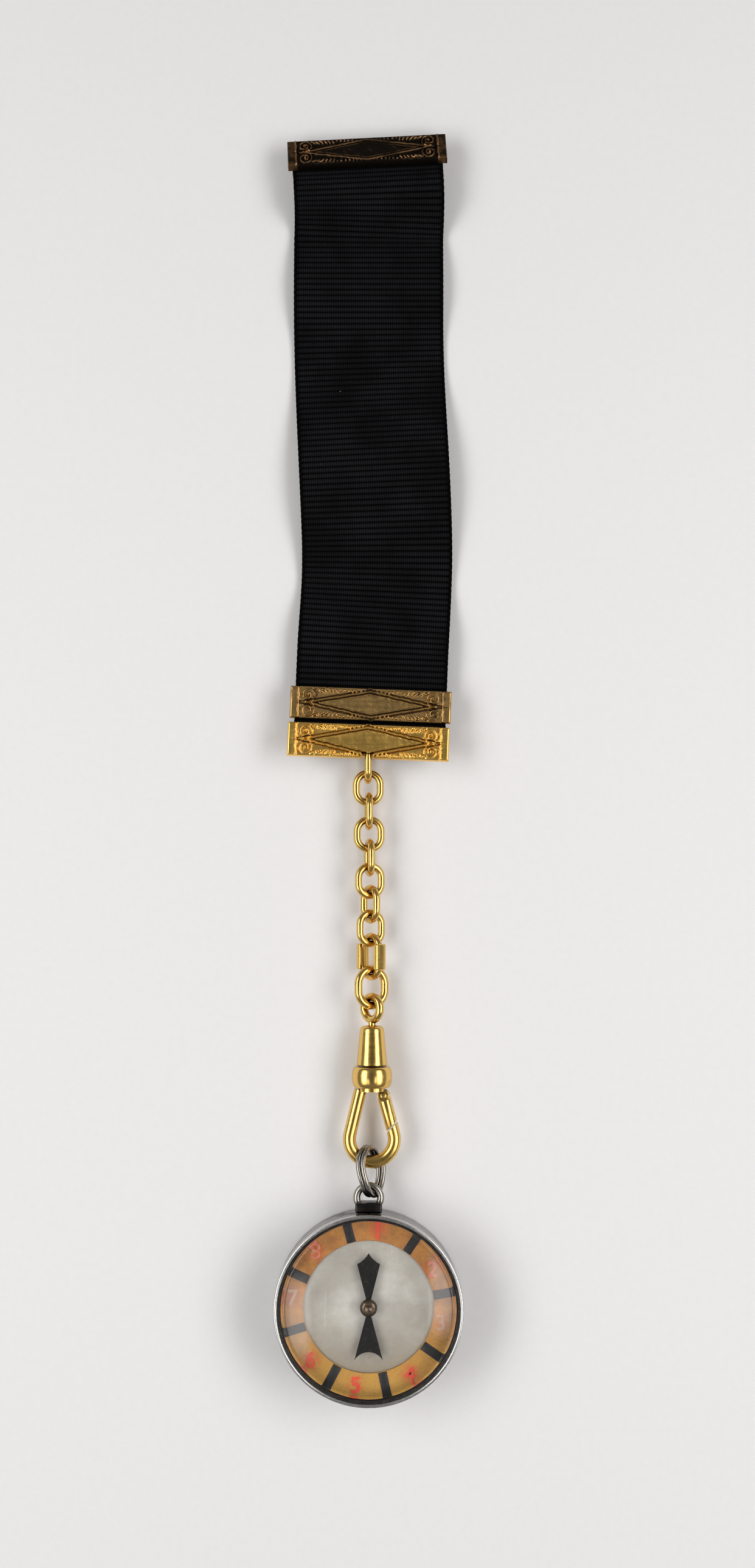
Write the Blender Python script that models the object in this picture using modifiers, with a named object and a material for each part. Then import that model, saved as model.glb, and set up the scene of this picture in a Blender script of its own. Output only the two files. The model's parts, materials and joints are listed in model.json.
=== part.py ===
"""Spinner fob: a glazed drum with a free-turning arrow, on a swivel clip, chain and ribbon.

The fob lies on its back: +Z is up, +Y runs towards the clamp at the ribbon's top end.
Every length is in metres.
"""
import math

import bmesh
import bpy
from mathutils import Matrix, Vector

MM = 0.001
TOUCH_GAP = 0.30 * MM      # between pieces that touch on the real object
FINE_GAP = 0.15 * MM       # between small pieces that touch
FOOT_EDGE = 0.20 * MM      # small bevel at the foot of a turned piece

# ribbon
RIBBON_WIDTH = 24.8 * MM
RIBBON_THICKNESS = 0.56 * MM
RIBBON_RUN = 96.2 * MM     # from the fold to the middle of the top clamp, along Y
RIBBON_TAIL = 19.0 * MM    # folded-back end, from the fold's pin
RIBBON_SWAY = 1.5 * MM
RIBBON_DRIFT = 0.25 * MM
SWAY_START = 26 * MM
SWAY_LENGTH = 44 * MM
KEEPER_EASE_LEAD = 2 * MM
KEEPER_EASE = 24 * MM
TOP_TURN_LEAD = 14 * MM
TOP_EASE = 9 * MM
LAY_EASE = 12 * MM
TOP_RISE_LEAD = 13 * MM
RIBBON_LIFTS = ((75.0 * MM, 11.0 * MM, 1.3 * MM), (43.0 * MM, 20.0 * MM, 2.3 * MM))
RIBBON_REST = 0.42 * MM    # middle of the cloth where it lies on the table

# stamped bars
BAR_SHEET = 0.35 * MM
BAR_SIDE_PLAY = 0.40 * MM
BAR_LENGTH = RIBBON_WIDTH + 2 * (BAR_SIDE_PLAY + BAR_SHEET)
BAR_DEPTH = 1.5 * MM
CLAMP_HEIGHT = 5.2 * MM
END_BAR_HEIGHT = 5.5 * MM
JAW_THICKNESS = 0.6 * MM
JAW_FOOT_INSET = 0.2 * MM
LIP_THICKNESS = 0.4 * MM
LIP_INSET = 0.3 * MM
EAR_MARGIN = 0.30 * MM      # of an ear round its pin
HINGE_PIN_RADIUS = 0.30 * MM
HINGE_BARREL_RADIUS = 0.55 * MM
BARREL_DROP = 0.20 * MM    # from the cloth down to the hinge barrel
PIN_END_PLAY = 0.1 * MM
FLOOR_GAP = 0.05 * MM      # under the lowest hinge barrel
BAR_GAP = 0.95 * MM        # between the keeper and the end bar
KEEPER_TRAVEL = 6.0 * MM
KEEPER_LAYER_RISE = (RIBBON_THICKNESS + TOUCH_GAP) / 2
LOWER_LEAN = math.radians(-2.2)
TOP_LEAN = math.radians(3.0)
TOP_TILT = math.radians(-22.0)
END_BAR_TILT = math.radians(-5.0)

# end bar's inside
FOLD_PIN_RADIUS = 0.50 * MM
FOLD_RADIUS = FOLD_PIN_RADIUS + FINE_GAP + RIBBON_THICKNESS / 2
FOLD_PIN_ABOVE_CENTRE = 1.5 * MM
STAPLE_RADIUS = 0.50 * MM
STAPLE_SPAN = 4.0 * MM
STAPLE_EDGE_INSET = BAR_SHEET + FINE_GAP + STAPLE_RADIUS
NOTCH_WIDTH = 2.1 * MM
NOTCH_HEIGHT = 1.0 * MM

# chain: length, width, wire diameter and roll of each link, from the end bar down
LINK_GAP = 0.14 * MM
WIRE = 1.15 * MM
STOUT_WIRE = 1.30 * MM
LINKS = (
    (6.70 * MM, 4.90 * MM, WIRE, -88.0),
    (6.10 * MM, 5.10 * MM, WIRE, 2.0),
    (6.35 * MM, 5.10 * MM, WIRE, -86.0),
    (6.10 * MM, 5.10 * MM, WIRE, 5.0),
    (6.35 * MM, 5.10 * MM, WIRE, -80.0),
    (6.10 * MM, 5.10 * MM, WIRE, 20.0),
    (6.40 * MM, 5.10 * MM, WIRE, -58.0),
    (6.30 * MM, 5.10 * MM, WIRE, 28.0),
    (7.80 * MM, 5.20 * MM, WIRE, -50.0),
    (7.30 * MM, 6.20 * MM, STOUT_WIRE, 30.0),
)
BAND_LINK = 8              # the link whose sides are flat straps
STRAP_WIDTH = 2.0 * MM
STRAP_LENGTH = 4.2 * MM
STRAP_THICKNESS = 0.95 * MM
CHAIN_SIDE_DRIFT = 0.07 * MM

# swivel clip, measured from the collar's lower face along its axis
EYE_LENGTH = 5.0 * MM
EYE_WIDTH = 5.0 * MM
EYE_WIRE = 1.35 * MM
EYE_ROLL = -46.0
EYE_ABOVE_BARREL = 0.30 * MM
SHANK_RADIUS = 0.60 * MM
SWIVEL_CLEARANCE = 0.20 * MM
HEAD_RADIUS = 1.50 * MM
HEAD_THICKNESS = 0.70 * MM
HEAD_CLEARANCE = 0.45 * MM
BARREL_LENGTH = 6.45 * MM
BARREL_TOP_RADIUS = 1.95 * MM
BARREL_FOOT_RADIUS = 2.50 * MM
COLLAR_LENGTH = 3.35 * MM
COLLAR_RADIUS = 3.27 * MM
COLLAR_WALL = 0.92 * MM
COLLAR_BULGE = 0.55 * MM
COLLAR_FLOOR = 0.65 * MM
BLOCK_HEIGHT = 1.20 * MM
BLOCK_GAP = 0.1 * MM
BLOCK_SINK = 0.15 * MM
HOOK_WIRE_RADIUS = 1.05 * MM
HOOK_BOW_RADIUS = 3.65 * MM
HOOK_REACH = 12.0 * MM     # collar's face to the middle of the wire at the bottom
LEG_SPREAD = 1.75 * MM
GATE_PIVOT = (1.85 * MM, -1.28 * MM)
GATE_JOINT_DROP = 6.3 * MM
LUG_RADIUS = 1.10 * MM
LUG_GAP = 0.55 * MM        # half the slot between the lugs
LUG_TOP_WALL = 0.10 * MM
LEG_TOP_DROP = 0.45 * MM
TONGUE_RADIUS = 0.78 * MM
TONGUE_LAP = 0.8 * MM
RIVET_RADIUS = 0.32 * MM
RIVET_HOLE_LENGTH = 4 * MM
RIVET_HEAD_LIP = 0.2 * MM
RIVET_HEAD_THICKNESS = 0.16 * MM
GATE_GAP = 0.16 * MM
SPRING_THICKNESS = 0.14 * MM
CLIP_AXIS_HEIGHT = 3.35 * MM

# split ring
RING_LENGTH = 8.4 * MM
RING_WIDTH = 6.6 * MM
RING_WIRE_RADIUS = 0.40 * MM
RING_TURN_PITCH = 0.86 * MM
RING_ROLL = 62.0
RING_HOOK_GAP = 0.86 * MM
RING_BOW_GAP = 0.58 * MM
RING_HEIGHT = 3.85 * MM

# case
CASE_RADIUS = 15.0 * MM
CASE_WALL = 0.90 * MM
CASE_DEPTH = 8.6 * MM
BEZEL_RADIUS = CASE_RADIUS + 0.15 * MM
BEZEL_WIDTH = 0.95 * MM
BEZEL_DEPTH = 1.45 * MM
COVER_THICKNESS = 1.0 * MM
BACK_EDGE = 0.38 * MM      # bevel round the drum's back
SHOULDER_WIDTH = 0.70 * MM
SHOULDER_TOP = 3.7 * MM
DIAL_THICKNESS = 0.40 * MM
DIAL_RING_THICKNESS = 0.30 * MM
DIAL_RING_WIDTH = 3.3 * MM
GASKET_WIDTH = 0.45 * MM
GASKET_DROP = 0.1 * MM
CRYSTAL_RISE = 1.35 * MM
CRYSTAL_THICKNESS = 0.50 * MM
CRYSTAL_EDGE = 0.35 * MM
BOW_RADIUS = 2.50 * MM
BOW_WIRE_RADIUS = 0.55 * MM
BOW_SINK = 0.80 * MM       # from the loop's middle down to the neck
NECK_WIDTH = 4.3 * MM
NECK_HEIGHT = 1.35 * MM
NECK_THICKNESS = 2.6 * MM

# arrow
NEEDLE_HEAD_REACH = 8.6 * MM
NEEDLE_TAIL_REACH = 8.3 * MM
NEEDLE_HEAD_HALF_WIDTH = 1.83 * MM
NEEDLE_SHOULDER_DROP = 1.75 * MM
NEEDLE_TAIL_HALF_WIDTH = 2.27 * MM
NEEDLE_TAIL_NOTCH = 1.3 * MM
NEEDLE_NECK = 0.4 * MM
NEEDLE_THICKNESS = 0.25 * MM
NEEDLE_CLEARANCE = 0.40 * MM
HUB_RADIUS = 1.40 * MM
HUB_CAP_HEIGHT = 0.85 * MM
HUB_CAP_WALL = 0.25 * MM
HUB_SLEEVE_INSET = 0.5 * MM
POST_RADIUS = 0.45 * MM
POST_HOLE_PLAY = 0.25 * MM
RUNNING_GAP = 0.12 * MM

FINISHES = {
    "bronze": ((0.16, 0.10, 0.05), 0.35, 1.0),
    "aged_brass": ((0.45, 0.31, 0.13), 0.35, 1.0),
    "gilt": ((0.83, 0.60, 0.20), 0.25, 1.0),
    "steel": ((0.50, 0.50, 0.50), 0.35, 1.0),
    "dark_steel": ((0.16, 0.15, 0.14), 0.40, 1.0),
    "cloth": ((0.01, 0.01, 0.012), 0.90, 0.0),
    "black": ((0.012, 0.012, 0.012), 0.45, 0.0),
    "dial_gilt": ((0.62, 0.42, 0.17), 0.35, 1.0),
    "cream": ((0.62, 0.58, 0.50), 0.55, 0.0),
    "brown_brass": ((0.20, 0.15, 0.10), 0.45, 1.0),
    "glass": ((0.92, 0.93, 0.92), 0.05, 0.0),
}

Y_TO_AXIS = Matrix.Rotation(math.radians(-90), 4, "X")  # stands a turned shape's Z along Y


# ---------- scene and materials

def clear_scene():
    for obj in list(bpy.data.objects):
        bpy.data.objects.remove(obj, do_unlink=True)


def new_collection(name):
    group = bpy.data.collections.new(name)
    bpy.context.scene.collection.children.link(group)
    return group


def finish_for(obj, finish):
    colour, roughness, metallic = FINISHES[finish]
    material = bpy.data.materials.new(obj.name)
    material.use_nodes = True
    shader = material.node_tree.nodes["Principled BSDF"]
    shader.inputs["Base Color"].default_value = (*colour, 1.0)
    shader.inputs["Roughness"].default_value = roughness
    shader.inputs["Metallic"].default_value = metallic
    if finish == "glass":
        shader.inputs["Transmission Weight"].default_value = 1.0
    material.diffuse_color = (*colour, 1.0)
    obj.data.materials.append(material)


def add_part(name, data, finish, place=None):
    obj = bpy.data.objects.new(name, data)
    PARTS.objects.link(obj)
    finish_for(obj, finish)
    obj.matrix_world = place or Matrix.Identity(4)
    return obj


def round_off(obj, angle=35):
    obj.data.shade_smooth()
    obj.data.set_sharp_from_angle(angle=math.radians(angle))


# ---------- shapes

def block_mesh(name, size, centre=(0, 0, 0)):
    mesh = bpy.data.meshes.new(name)
    shape = bmesh.new()
    place = Matrix.Translation(centre) @ Matrix.Diagonal((*size, 1))
    bmesh.ops.create_cube(shape, size=1, matrix=place)
    shape.to_mesh(mesh)
    shape.free()
    return mesh


def rod_mesh(name, radius, length, axis="Z", centre=(0, 0, 0), sides=20):
    turn = {"X": Matrix.Rotation(math.radians(90), 4, "Y"), "Y": Y_TO_AXIS, "Z": Matrix.Identity(4)}
    mesh = bpy.data.meshes.new(name)
    shape = bmesh.new()
    bmesh.ops.create_cone(
        shape, cap_ends=True, segments=sides, radius1=radius, radius2=radius, depth=length,
        matrix=Matrix.Translation(centre) @ turn[axis])
    shape.to_mesh(mesh)
    shape.free()
    return mesh


def turned(name, profile, finish, place, sides=48):
    """A profile of (radius, height) points, turned about the local Z axis.

    It runs down the outer side first; a profile that stays off the axis is closed.
    """
    off_axis = all(radius > 0 for radius, height in profile)
    count = len(profile)
    edges = [(i, i + 1) for i in range(count - 1)]
    if off_axis:
        edges.append((count - 1, 0))
    mesh = bpy.data.meshes.new(name)
    mesh.from_pydata([(radius, 0, height) for radius, height in profile], edges, [])
    obj = add_part(name, mesh, finish, place)
    screw = obj.modifiers.new("turn", "SCREW")
    screw.steps = screw.render_steps = sides
    screw.use_merge_vertices = True
    screw.merge_threshold = 0.00001
    screw.use_smooth_shade = False
    return obj


def wire_curve(name, points, radius, closed, resolution=2):
    curve = bpy.data.curves.new(name, "CURVE")
    curve.dimensions = "3D"
    curve.bevel_depth = radius
    curve.bevel_resolution = resolution
    curve.use_fill_caps = True
    spline = curve.splines.new("POLY")
    spline.points.add(len(points) - 1)
    for spot, point in zip(spline.points, points):
        spot.co = (*point, 1)
    spline.use_cyclic_u = closed
    return curve


def flat_curve(name, outlines, thickness):
    curve = bpy.data.curves.new(name, "CURVE")
    curve.dimensions = "2D"
    curve.fill_mode = "BOTH"
    curve.extrude = thickness / 2
    for points in outlines:
        spline = curve.splines.new("POLY")
        spline.points.add(len(points) - 1)
        for spot, point in zip(spline.points, points):
            spot.co = (point[0], point[1], 0, 1)
        spline.use_cyclic_u = True
    return curve


def as_mesh(obj):
    """Swap a curve object for a mesh object with the same name, place and material."""
    graph = bpy.context.evaluated_depsgraph_get()
    mesh = bpy.data.meshes.new_from_object(obj.evaluated_get(graph))
    shape = bmesh.new()
    shape.from_mesh(mesh)
    bmesh.ops.remove_doubles(shape, verts=shape.verts, dist=0.000002)
    bmesh.ops.recalc_face_normals(shape, faces=shape.faces)
    shape.to_mesh(mesh)
    shape.free()
    name, place, group = obj.name, obj.matrix_world.copy(), obj.users_collection[0]
    bpy.data.objects.remove(obj, do_unlink=True)
    swapped = bpy.data.objects.new(name, mesh)
    group.objects.link(swapped)
    swapped.matrix_world = place
    return swapped


def tool(name, data, place):
    """A cutter or a piece to be joined on, kept out of the model itself."""
    obj = bpy.data.objects.new(name, data)
    CUTTERS.objects.link(obj)
    obj.matrix_world = place
    if isinstance(data, bpy.types.Curve):
        bpy.context.view_layer.update()
        obj = as_mesh(obj)
    obj.hide_render = True
    obj.display_type = "WIRE"
    return obj


def combine(obj, other, operation):
    change = obj.modifiers.new(other.name, "BOOLEAN")
    change.operation = operation
    change.object = other
    change.solver = "EXACT"


def arc(centre, radius, start, end, steps):
    """Points on an arc; the angles are in degrees."""
    angles = [math.radians(start + (end - start) * i / steps) for i in range(steps + 1)]
    return [(centre[0] + radius * math.cos(a), centre[1] + radius * math.sin(a)) for a in angles]


def oval(length, width, wire, steps=9):
    """Middle line of a stadium-shaped link: its length runs along Y."""
    bend = (width - wire) / 2
    rise = (length - width) / 2
    top = arc((0, rise), bend, 0, 180, steps)
    foot = arc((0, -rise), bend, 180, 360, steps)
    return [(x, y, 0) for x, y in top + foot]


def smooth_step(value):
    value = min(1.0, max(0.0, value))
    return value * value * (3 - 2 * value)


def rolled(point, roll):
    """Places a link: its middle at point, turned about its own length by roll degrees."""
    return Matrix.Translation(point) @ Matrix.Rotation(math.radians(roll), 4, "Y")


def cross_axis(roll):
    """The way a rolled link's end wire runs."""
    return Vector((math.cos(math.radians(roll)), 0, -math.sin(math.radians(roll))))


# ---------- joints

def joint(name, parent, point, axis):
    """An empty on a joint's axis, its own X along it, for the pieces that move about it."""
    obj = bpy.data.objects.new(name, None)
    PARTS.objects.link(obj)
    obj.empty_display_size = 2 * MM
    turn = Vector((1, 0, 0)).rotation_difference(Vector(axis)).to_matrix().to_4x4()
    obj.matrix_world = Matrix.Translation(point) @ turn
    bpy.context.view_layer.update()
    if parent:
        attach(parent, obj)
    return obj


def attach(parent, *pieces):
    bpy.context.view_layer.update()
    for piece in pieces:
        tools = [m.object for m in piece.modifiers if m.type == "BOOLEAN"]
        for obj in [piece, *tools]:
            place = obj.matrix_world.copy()
            obj.parent = parent
            obj.matrix_parent_inverse = parent.matrix_world.inverted()
            obj.matrix_world = place
    bpy.context.view_layer.update()


# ---------- ribbon

def lower_line(y):
    return -(y - FOLD_Y) * math.tan(LOWER_LEAN)


def ribbon_side(y):
    """Sideways place of the ribbon's middle line."""
    top = RIBBON_TOP_X - (y - TOP_CLAMP_Y) * math.tan(TOP_LEAN)
    bowed = RIBBON_TOP_X + RIBBON_DRIFT + RIBBON_SWAY * (1 - smooth_step((y - SWAY_START) / (SWAY_LENGTH)))
    blend = smooth_step((y - (FLAT_END_Y - KEEPER_EASE_LEAD)) / (KEEPER_EASE))
    middle = lower_line(y) * (1 - blend) + bowed * blend
    blend = smooth_step((y - (TOP_CLAMP_Y - TOP_TURN_LEAD)) / (TOP_EASE))
    return middle * (1 - blend) + top * blend


def ribbon_height(y):
    """Height of the front layer's middle."""
    lying = RIBBON_REST
    for centre, half, lift in RIBBON_LIFTS:
        reach = max(-1.0, min(1.0, (y - FOLD_Y - centre) / half))
        lying += lift * (1 + math.cos(math.pi * reach)) / 2
    flat = KEEPER_Z + KEEPER_LAYER_RISE
    spread = FOLD_Z + FOLD_RADIUS
    blend = smooth_step((y - FOLD_Y) / (KEEPER_Y - CLAMP_HEIGHT / 2 - FOLD_Y))
    low = spread * (1 - blend) + flat * blend
    blend = smooth_step((y - FLAT_END_Y) / (LAY_EASE))
    middle = low * (1 - blend) + lying * blend
    top = TOP_CLAMP_Z + (y - TOP_CLAMP_Y) * math.tan(TOP_TILT)
    blend = smooth_step((y - (TOP_CLAMP_Y - TOP_RISE_LEAD)) / (TOP_EASE))
    return middle * (1 - blend) + top * blend


def tail_height(y):
    """Height of the folded-back layer's middle."""
    flat = KEEPER_Z - KEEPER_LAYER_RISE
    blend = smooth_step((y - FOLD_Y) / (KEEPER_Y - CLAMP_HEIGHT / 2 - FOLD_Y))
    return (FOLD_Z - FOLD_RADIUS) * (1 - blend) + flat * blend


def ribbon_rows():
    """(y, z) along the ribbon: down the front, round the fold and up the back."""
    top_end = TOP_CLAMP_Y + CLAMP_HEIGHT * 0.28
    front_steps = 58
    front = [top_end + (FOLD_Y - top_end) * i / front_steps for i in range(front_steps)]
    rows = [(y, ribbon_height(y)) for y in front]
    rows += arc((FOLD_Y, FOLD_Z), FOLD_RADIUS, 90, 270, 8)
    back_steps = 12
    rows += [(y, tail_height(y)) for y in
             (FOLD_Y + RIBBON_TAIL * (i + 1) / back_steps for i in range(back_steps))]
    return rows


def make_ribbon():
    rows = ribbon_rows()
    bpy.ops.mesh.primitive_grid_add(x_subdivisions=2, y_subdivisions=len(rows) - 1, size=1)
    obj = bpy.context.object
    obj.name = obj.data.name = "ribbon"
    for group in list(obj.users_collection):
        group.objects.unlink(obj)
    PARTS.objects.link(obj)
    finish_for(obj, "cloth")
    step = 0.1 * MM
    across = sorted({round(v.co.x, 5) for v in obj.data.vertices})
    along = sorted({round(v.co.y, 5) for v in obj.data.vertices})
    for vertex in obj.data.vertices:
        side = across.index(round(vertex.co.x, 5)) / (len(across) - 1) * 2 - 1
        y, z = rows[along.index(round(vertex.co.y, 5))]
        near = max(y, FOLD_Y)
        lean = math.atan2(ribbon_side(near + step) - ribbon_side(near - step), 2 * step)
        reach = side * RIBBON_WIDTH / 2
        vertex.co = (ribbon_side(near) + reach * math.cos(lean), y - reach * math.sin(lean), z)
    cloth = obj.modifiers.new("cloth", "SOLIDIFY")
    cloth.thickness = RIBBON_THICKNESS
    cloth.offset = 0
    return obj


# ---------- stamped bars

def stamped_plate(name, height, finish, place, under, pin_y, pin_z, pin_radius):
    """A shallow tray, open below, with an ear at each end that takes the cross pin."""
    obj = add_part(name, block_mesh(name, (BAR_LENGTH, height, BAR_DEPTH),
                                    (0, 0, under + BAR_DEPTH / 2)), finish, place)
    shape = bmesh.new()
    shape.from_mesh(obj.data)
    foot = [face for face in shape.faces if face.normal.z < -0.5]
    bmesh.ops.delete(shape, geom=foot, context="FACES_ONLY")
    shape.to_mesh(obj.data)
    shape.free()
    sheet = obj.modifiers.new("sheet", "SOLIDIFY")
    sheet.thickness = BAR_SHEET
    sheet.offset = -1
    sheet.use_even_offset = True
    ear_half = pin_radius + EAR_MARGIN
    ear_top = under + BAR_DEPTH / 2
    ear_foot = pin_z - ear_half
    for side, label in ((-1, "left"), (1, "right")):
        size = (BAR_SHEET, 2 * ear_half, ear_top - ear_foot)
        centre = (side * (BAR_LENGTH - BAR_SHEET) / 2, pin_y, (ear_top + ear_foot) / 2)
        ear = tool(f"{name}_{label}_ear", block_mesh("ear", size, centre), place)
        combine(obj, ear, "UNION")
    hole = rod_mesh("hole", pin_radius + RUNNING_GAP, BAR_LENGTH * 1.2, "X", (0, pin_y, pin_z), 16)
    combine(obj, tool(f"{name}_pin_hole", hole, place), "DIFFERENCE")
    return obj


def cross_pin(name, radius, y, z, finish, place):
    pin = add_part(name, rod_mesh(name, radius, BAR_LENGTH - PIN_END_PLAY, "X", (0, y, z), 16), finish, place)
    round_off(pin)
    return pin


def clamp(name, finish, place, half_stack):
    """Front plate, back jaw and hinge pin; the jaw turns about the pin at the upper edge."""
    pin_y = CLAMP_HEIGHT / 2 - HINGE_BARREL_RADIUS
    pin_z = -half_stack - BARREL_DROP - HINGE_BARREL_RADIUS
    under = half_stack + TOUCH_GAP
    plate = stamped_plate(name + "_plate", CLAMP_HEIGHT, finish, place, under,
                          pin_y, pin_z, HINGE_PIN_RADIUS)
    pin = cross_pin(name + "_pin", HINGE_PIN_RADIUS, pin_y, pin_z, finish, place)
    jaw_length = BAR_LENGTH - 2 * BAR_SHEET - 2 * TOUCH_GAP
    jaw_top = -half_stack - TOUCH_GAP
    jaw_foot_y = -CLAMP_HEIGHT / 2 + JAW_FOOT_INSET
    size = (jaw_length, pin_y - jaw_foot_y, JAW_THICKNESS)
    centre = (0, (pin_y + jaw_foot_y) / 2, jaw_top - JAW_THICKNESS / 2)
    jaw = add_part(name + "_jaw", block_mesh("jaw", size, centre), finish, place)
    lip_height = JAW_THICKNESS + TOUCH_GAP / 2
    lip = block_mesh("lip", (jaw_length * 0.98, LIP_THICKNESS, lip_height),
                     (0, jaw_foot_y + LIP_INSET, jaw_top - JAW_THICKNESS * 0.9 + lip_height / 2))
    combine(jaw, tool(name + "_jaw_lip", lip, place), "UNION")
    barrel = rod_mesh("barrel", HINGE_BARREL_RADIUS, jaw_length * 0.99, "X", (0, pin_y, pin_z), 16)
    combine(jaw, tool(name + "_jaw_barrel", barrel, place), "UNION")
    bore = rod_mesh("bore", HINGE_PIN_RADIUS + RUNNING_GAP, BAR_LENGTH, "X", (0, pin_y, pin_z), 16)
    combine(jaw, tool(name + "_jaw_bore", bore, place), "DIFFERENCE")
    axis_point = place @ Vector((0, pin_y, pin_z))
    return plate, pin, jaw, axis_point, place.to_3x3() @ Vector((1, 0, 0))


def make_end_bar(place):
    """Front plate, the pin inside the ribbon's fold and the staple that the chain hangs on."""
    under = FOLD_RADIUS + RIBBON_THICKNESS / 2 + TOUCH_GAP
    bar_centre_y = -FOLD_PIN_ABOVE_CENTRE
    centred = place @ Matrix.Translation((0, bar_centre_y, 0))
    plate = stamped_plate("end_bar_plate", END_BAR_HEIGHT, "gilt", centred, under,
                          FOLD_PIN_ABOVE_CENTRE, 0, FOLD_PIN_RADIUS)
    foot_y = -END_BAR_HEIGHT / 2
    notch = block_mesh("notch", (NOTCH_WIDTH, 2 * NOTCH_HEIGHT, 3 * BAR_DEPTH),
                       (0, foot_y, under + BAR_DEPTH))
    combine(plate, tool("end_bar_notch", notch, centred), "DIFFERENCE")
    pin = cross_pin("end_bar_pin", FOLD_PIN_RADIUS, 0, 0, "gilt", place)
    staple_y = foot_y + STAPLE_EDGE_INSET + bar_centre_y
    half = STAPLE_SPAN / 2
    top = under + BAR_DEPTH - BAR_SHEET - FINE_GAP
    bend = 0.6 * MM
    left = [(-half, staple_y, top)]
    left += [(x, staple_y, z) for x, z in arc((-half + bend, STAPLE_Z + bend), bend, 180, 270, 4)]
    right = [(-x, y, z) for x, y, z in reversed(left)]
    staple = add_part("end_bar_staple", wire_curve("staple", left + right, STAPLE_RADIUS, False),
                      "gilt", place)
    return plate, pin, staple, place @ Vector((0, staple_y, STAPLE_Z))


# ---------- chain

def make_link(number, middle, length, width, wire, roll):
    name = f"chain_link_{number + 1:02d}"
    path = oval(length, width, wire)
    place = rolled(middle, roll)
    link = add_part(name, wire_curve(name, path, wire / 2, True), "gilt", place)
    if number != BAND_LINK:
        return link
    bpy.context.view_layer.update()
    link = as_mesh(link)
    for side, label in ((-1, "left"), (1, "right")):
        size = (STRAP_THICKNESS, STRAP_LENGTH, STRAP_WIDTH)
        centre = (side * (width - STRAP_THICKNESS) / 2, 0, 0)
        combine(link, tool(f"{name}_{label}_strap", block_mesh("strap", size, centre), place), "UNION")
    return link


def make_chain(staple_point, parent):
    """Links from the staple down; each turns about the end wire of the one above."""
    hang_y = staple_point.y
    hang_radius = STAPLE_RADIUS
    hang_axis = Vector((1, 0, 0))
    hang_x = staple_point.x
    height = staple_point.z
    rise = (CLIP_AXIS_HEIGHT - height) / (len(LINKS) + 1)
    hang_point = staple_point
    for number, (length, width, wire, roll) in enumerate(LINKS):
        top_wire_y = hang_y + hang_radius + wire / 2 + LINK_GAP
        middle = Vector((hang_x + CHAIN_SIDE_DRIFT * number, top_wire_y - (length - wire) / 2,
                         height + rise * number))
        hinge = joint(f"joint_link_{number + 1:02d}", parent, hang_point, hang_axis)
        attach(hinge, make_link(number, middle, length, width, wire, roll))
        parent = hinge
        hang_y = middle.y - (length - wire) / 2
        hang_radius = wire / 2
        hang_axis = cross_axis(roll) * (-1 if number % 4 in (1, 2) else 1)
        hang_point = Vector((middle.x, hang_y, middle.z))
    return parent, hang_point, hang_radius, hang_axis


# ---------- swivel clip

def make_swivel(clip, eye_y, parent, hang_point, hang_axis):
    hinge = joint("joint_swivel_eye", parent, hang_point, hang_axis)
    barrel_foot = COLLAR_LENGTH + FINE_GAP
    barrel_top = barrel_foot + BARREL_LENGTH
    bore = SHANK_RADIUS + SWIVEL_CLEARANCE
    crown = [(BARREL_TOP_RADIUS * 0.62, barrel_top)]
    crown += [(BARREL_TOP_RADIUS * 0.62 + BARREL_TOP_RADIUS * 0.38 * math.sin(a),
               barrel_top - BARREL_TOP_RADIUS * 0.38 * (1 - math.cos(a)))
              for a in (math.radians(d) for d in (30, 60, 90))]
    profile = crown + [
        (BARREL_FOOT_RADIUS, barrel_foot + FOOT_EDGE), (BARREL_FOOT_RADIUS - FOOT_EDGE, barrel_foot),
        (bore, barrel_foot), (bore, barrel_top)]
    barrel = turned("swivel_barrel", profile, "gilt", clip @ Y_TO_AXIS, 24)
    loop = oval(EYE_LENGTH, EYE_WIDTH, EYE_WIRE)
    eye = add_part("swivel_eye", wire_curve("eye", loop, EYE_WIRE / 2, True), "gilt",
                   clip @ rolled((0, eye_y, 0), EYE_ROLL))
    bpy.context.view_layer.update()
    eye = as_mesh(eye)
    head_foot = BLOCK_HEIGHT + HEAD_CLEARANCE
    shank_top = eye_y - (EYE_LENGTH - EYE_WIRE) / 2
    shank = rod_mesh("shank", SHANK_RADIUS, shank_top - head_foot, "Y",
                     (0, (shank_top + head_foot) / 2, 0), 16)
    combine(eye, tool("swivel_shank", shank, clip), "UNION")
    head = rod_mesh("head", HEAD_RADIUS, HEAD_THICKNESS, "Y", (0, head_foot + HEAD_THICKNESS / 2, 0), 20)
    combine(eye, tool("swivel_head", head, clip), "UNION")
    attach(hinge, barrel, eye)
    return hinge


def leg_tangent():
    """Where a straight leg meets the hook's round bow, on the right-hand side."""
    centre = Vector((0, -(HOOK_REACH - HOOK_BOW_RADIUS)))
    start = Vector((LEG_SPREAD, 0))
    reach = start - centre
    angle = math.atan2(reach.y, reach.x) - math.acos(HOOK_BOW_RADIUS / reach.length)
    return centre, math.degrees(angle)


def capsule(start, end, radius, steps=8):
    """Outline of a bar with round ends."""
    angle = math.degrees(math.atan2(end[1] - start[1], end[0] - start[0]))
    return (arc(end, radius, angle - 90, angle + 90, steps)
            + arc(start, radius, angle + 90, angle + 270, steps))


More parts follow.
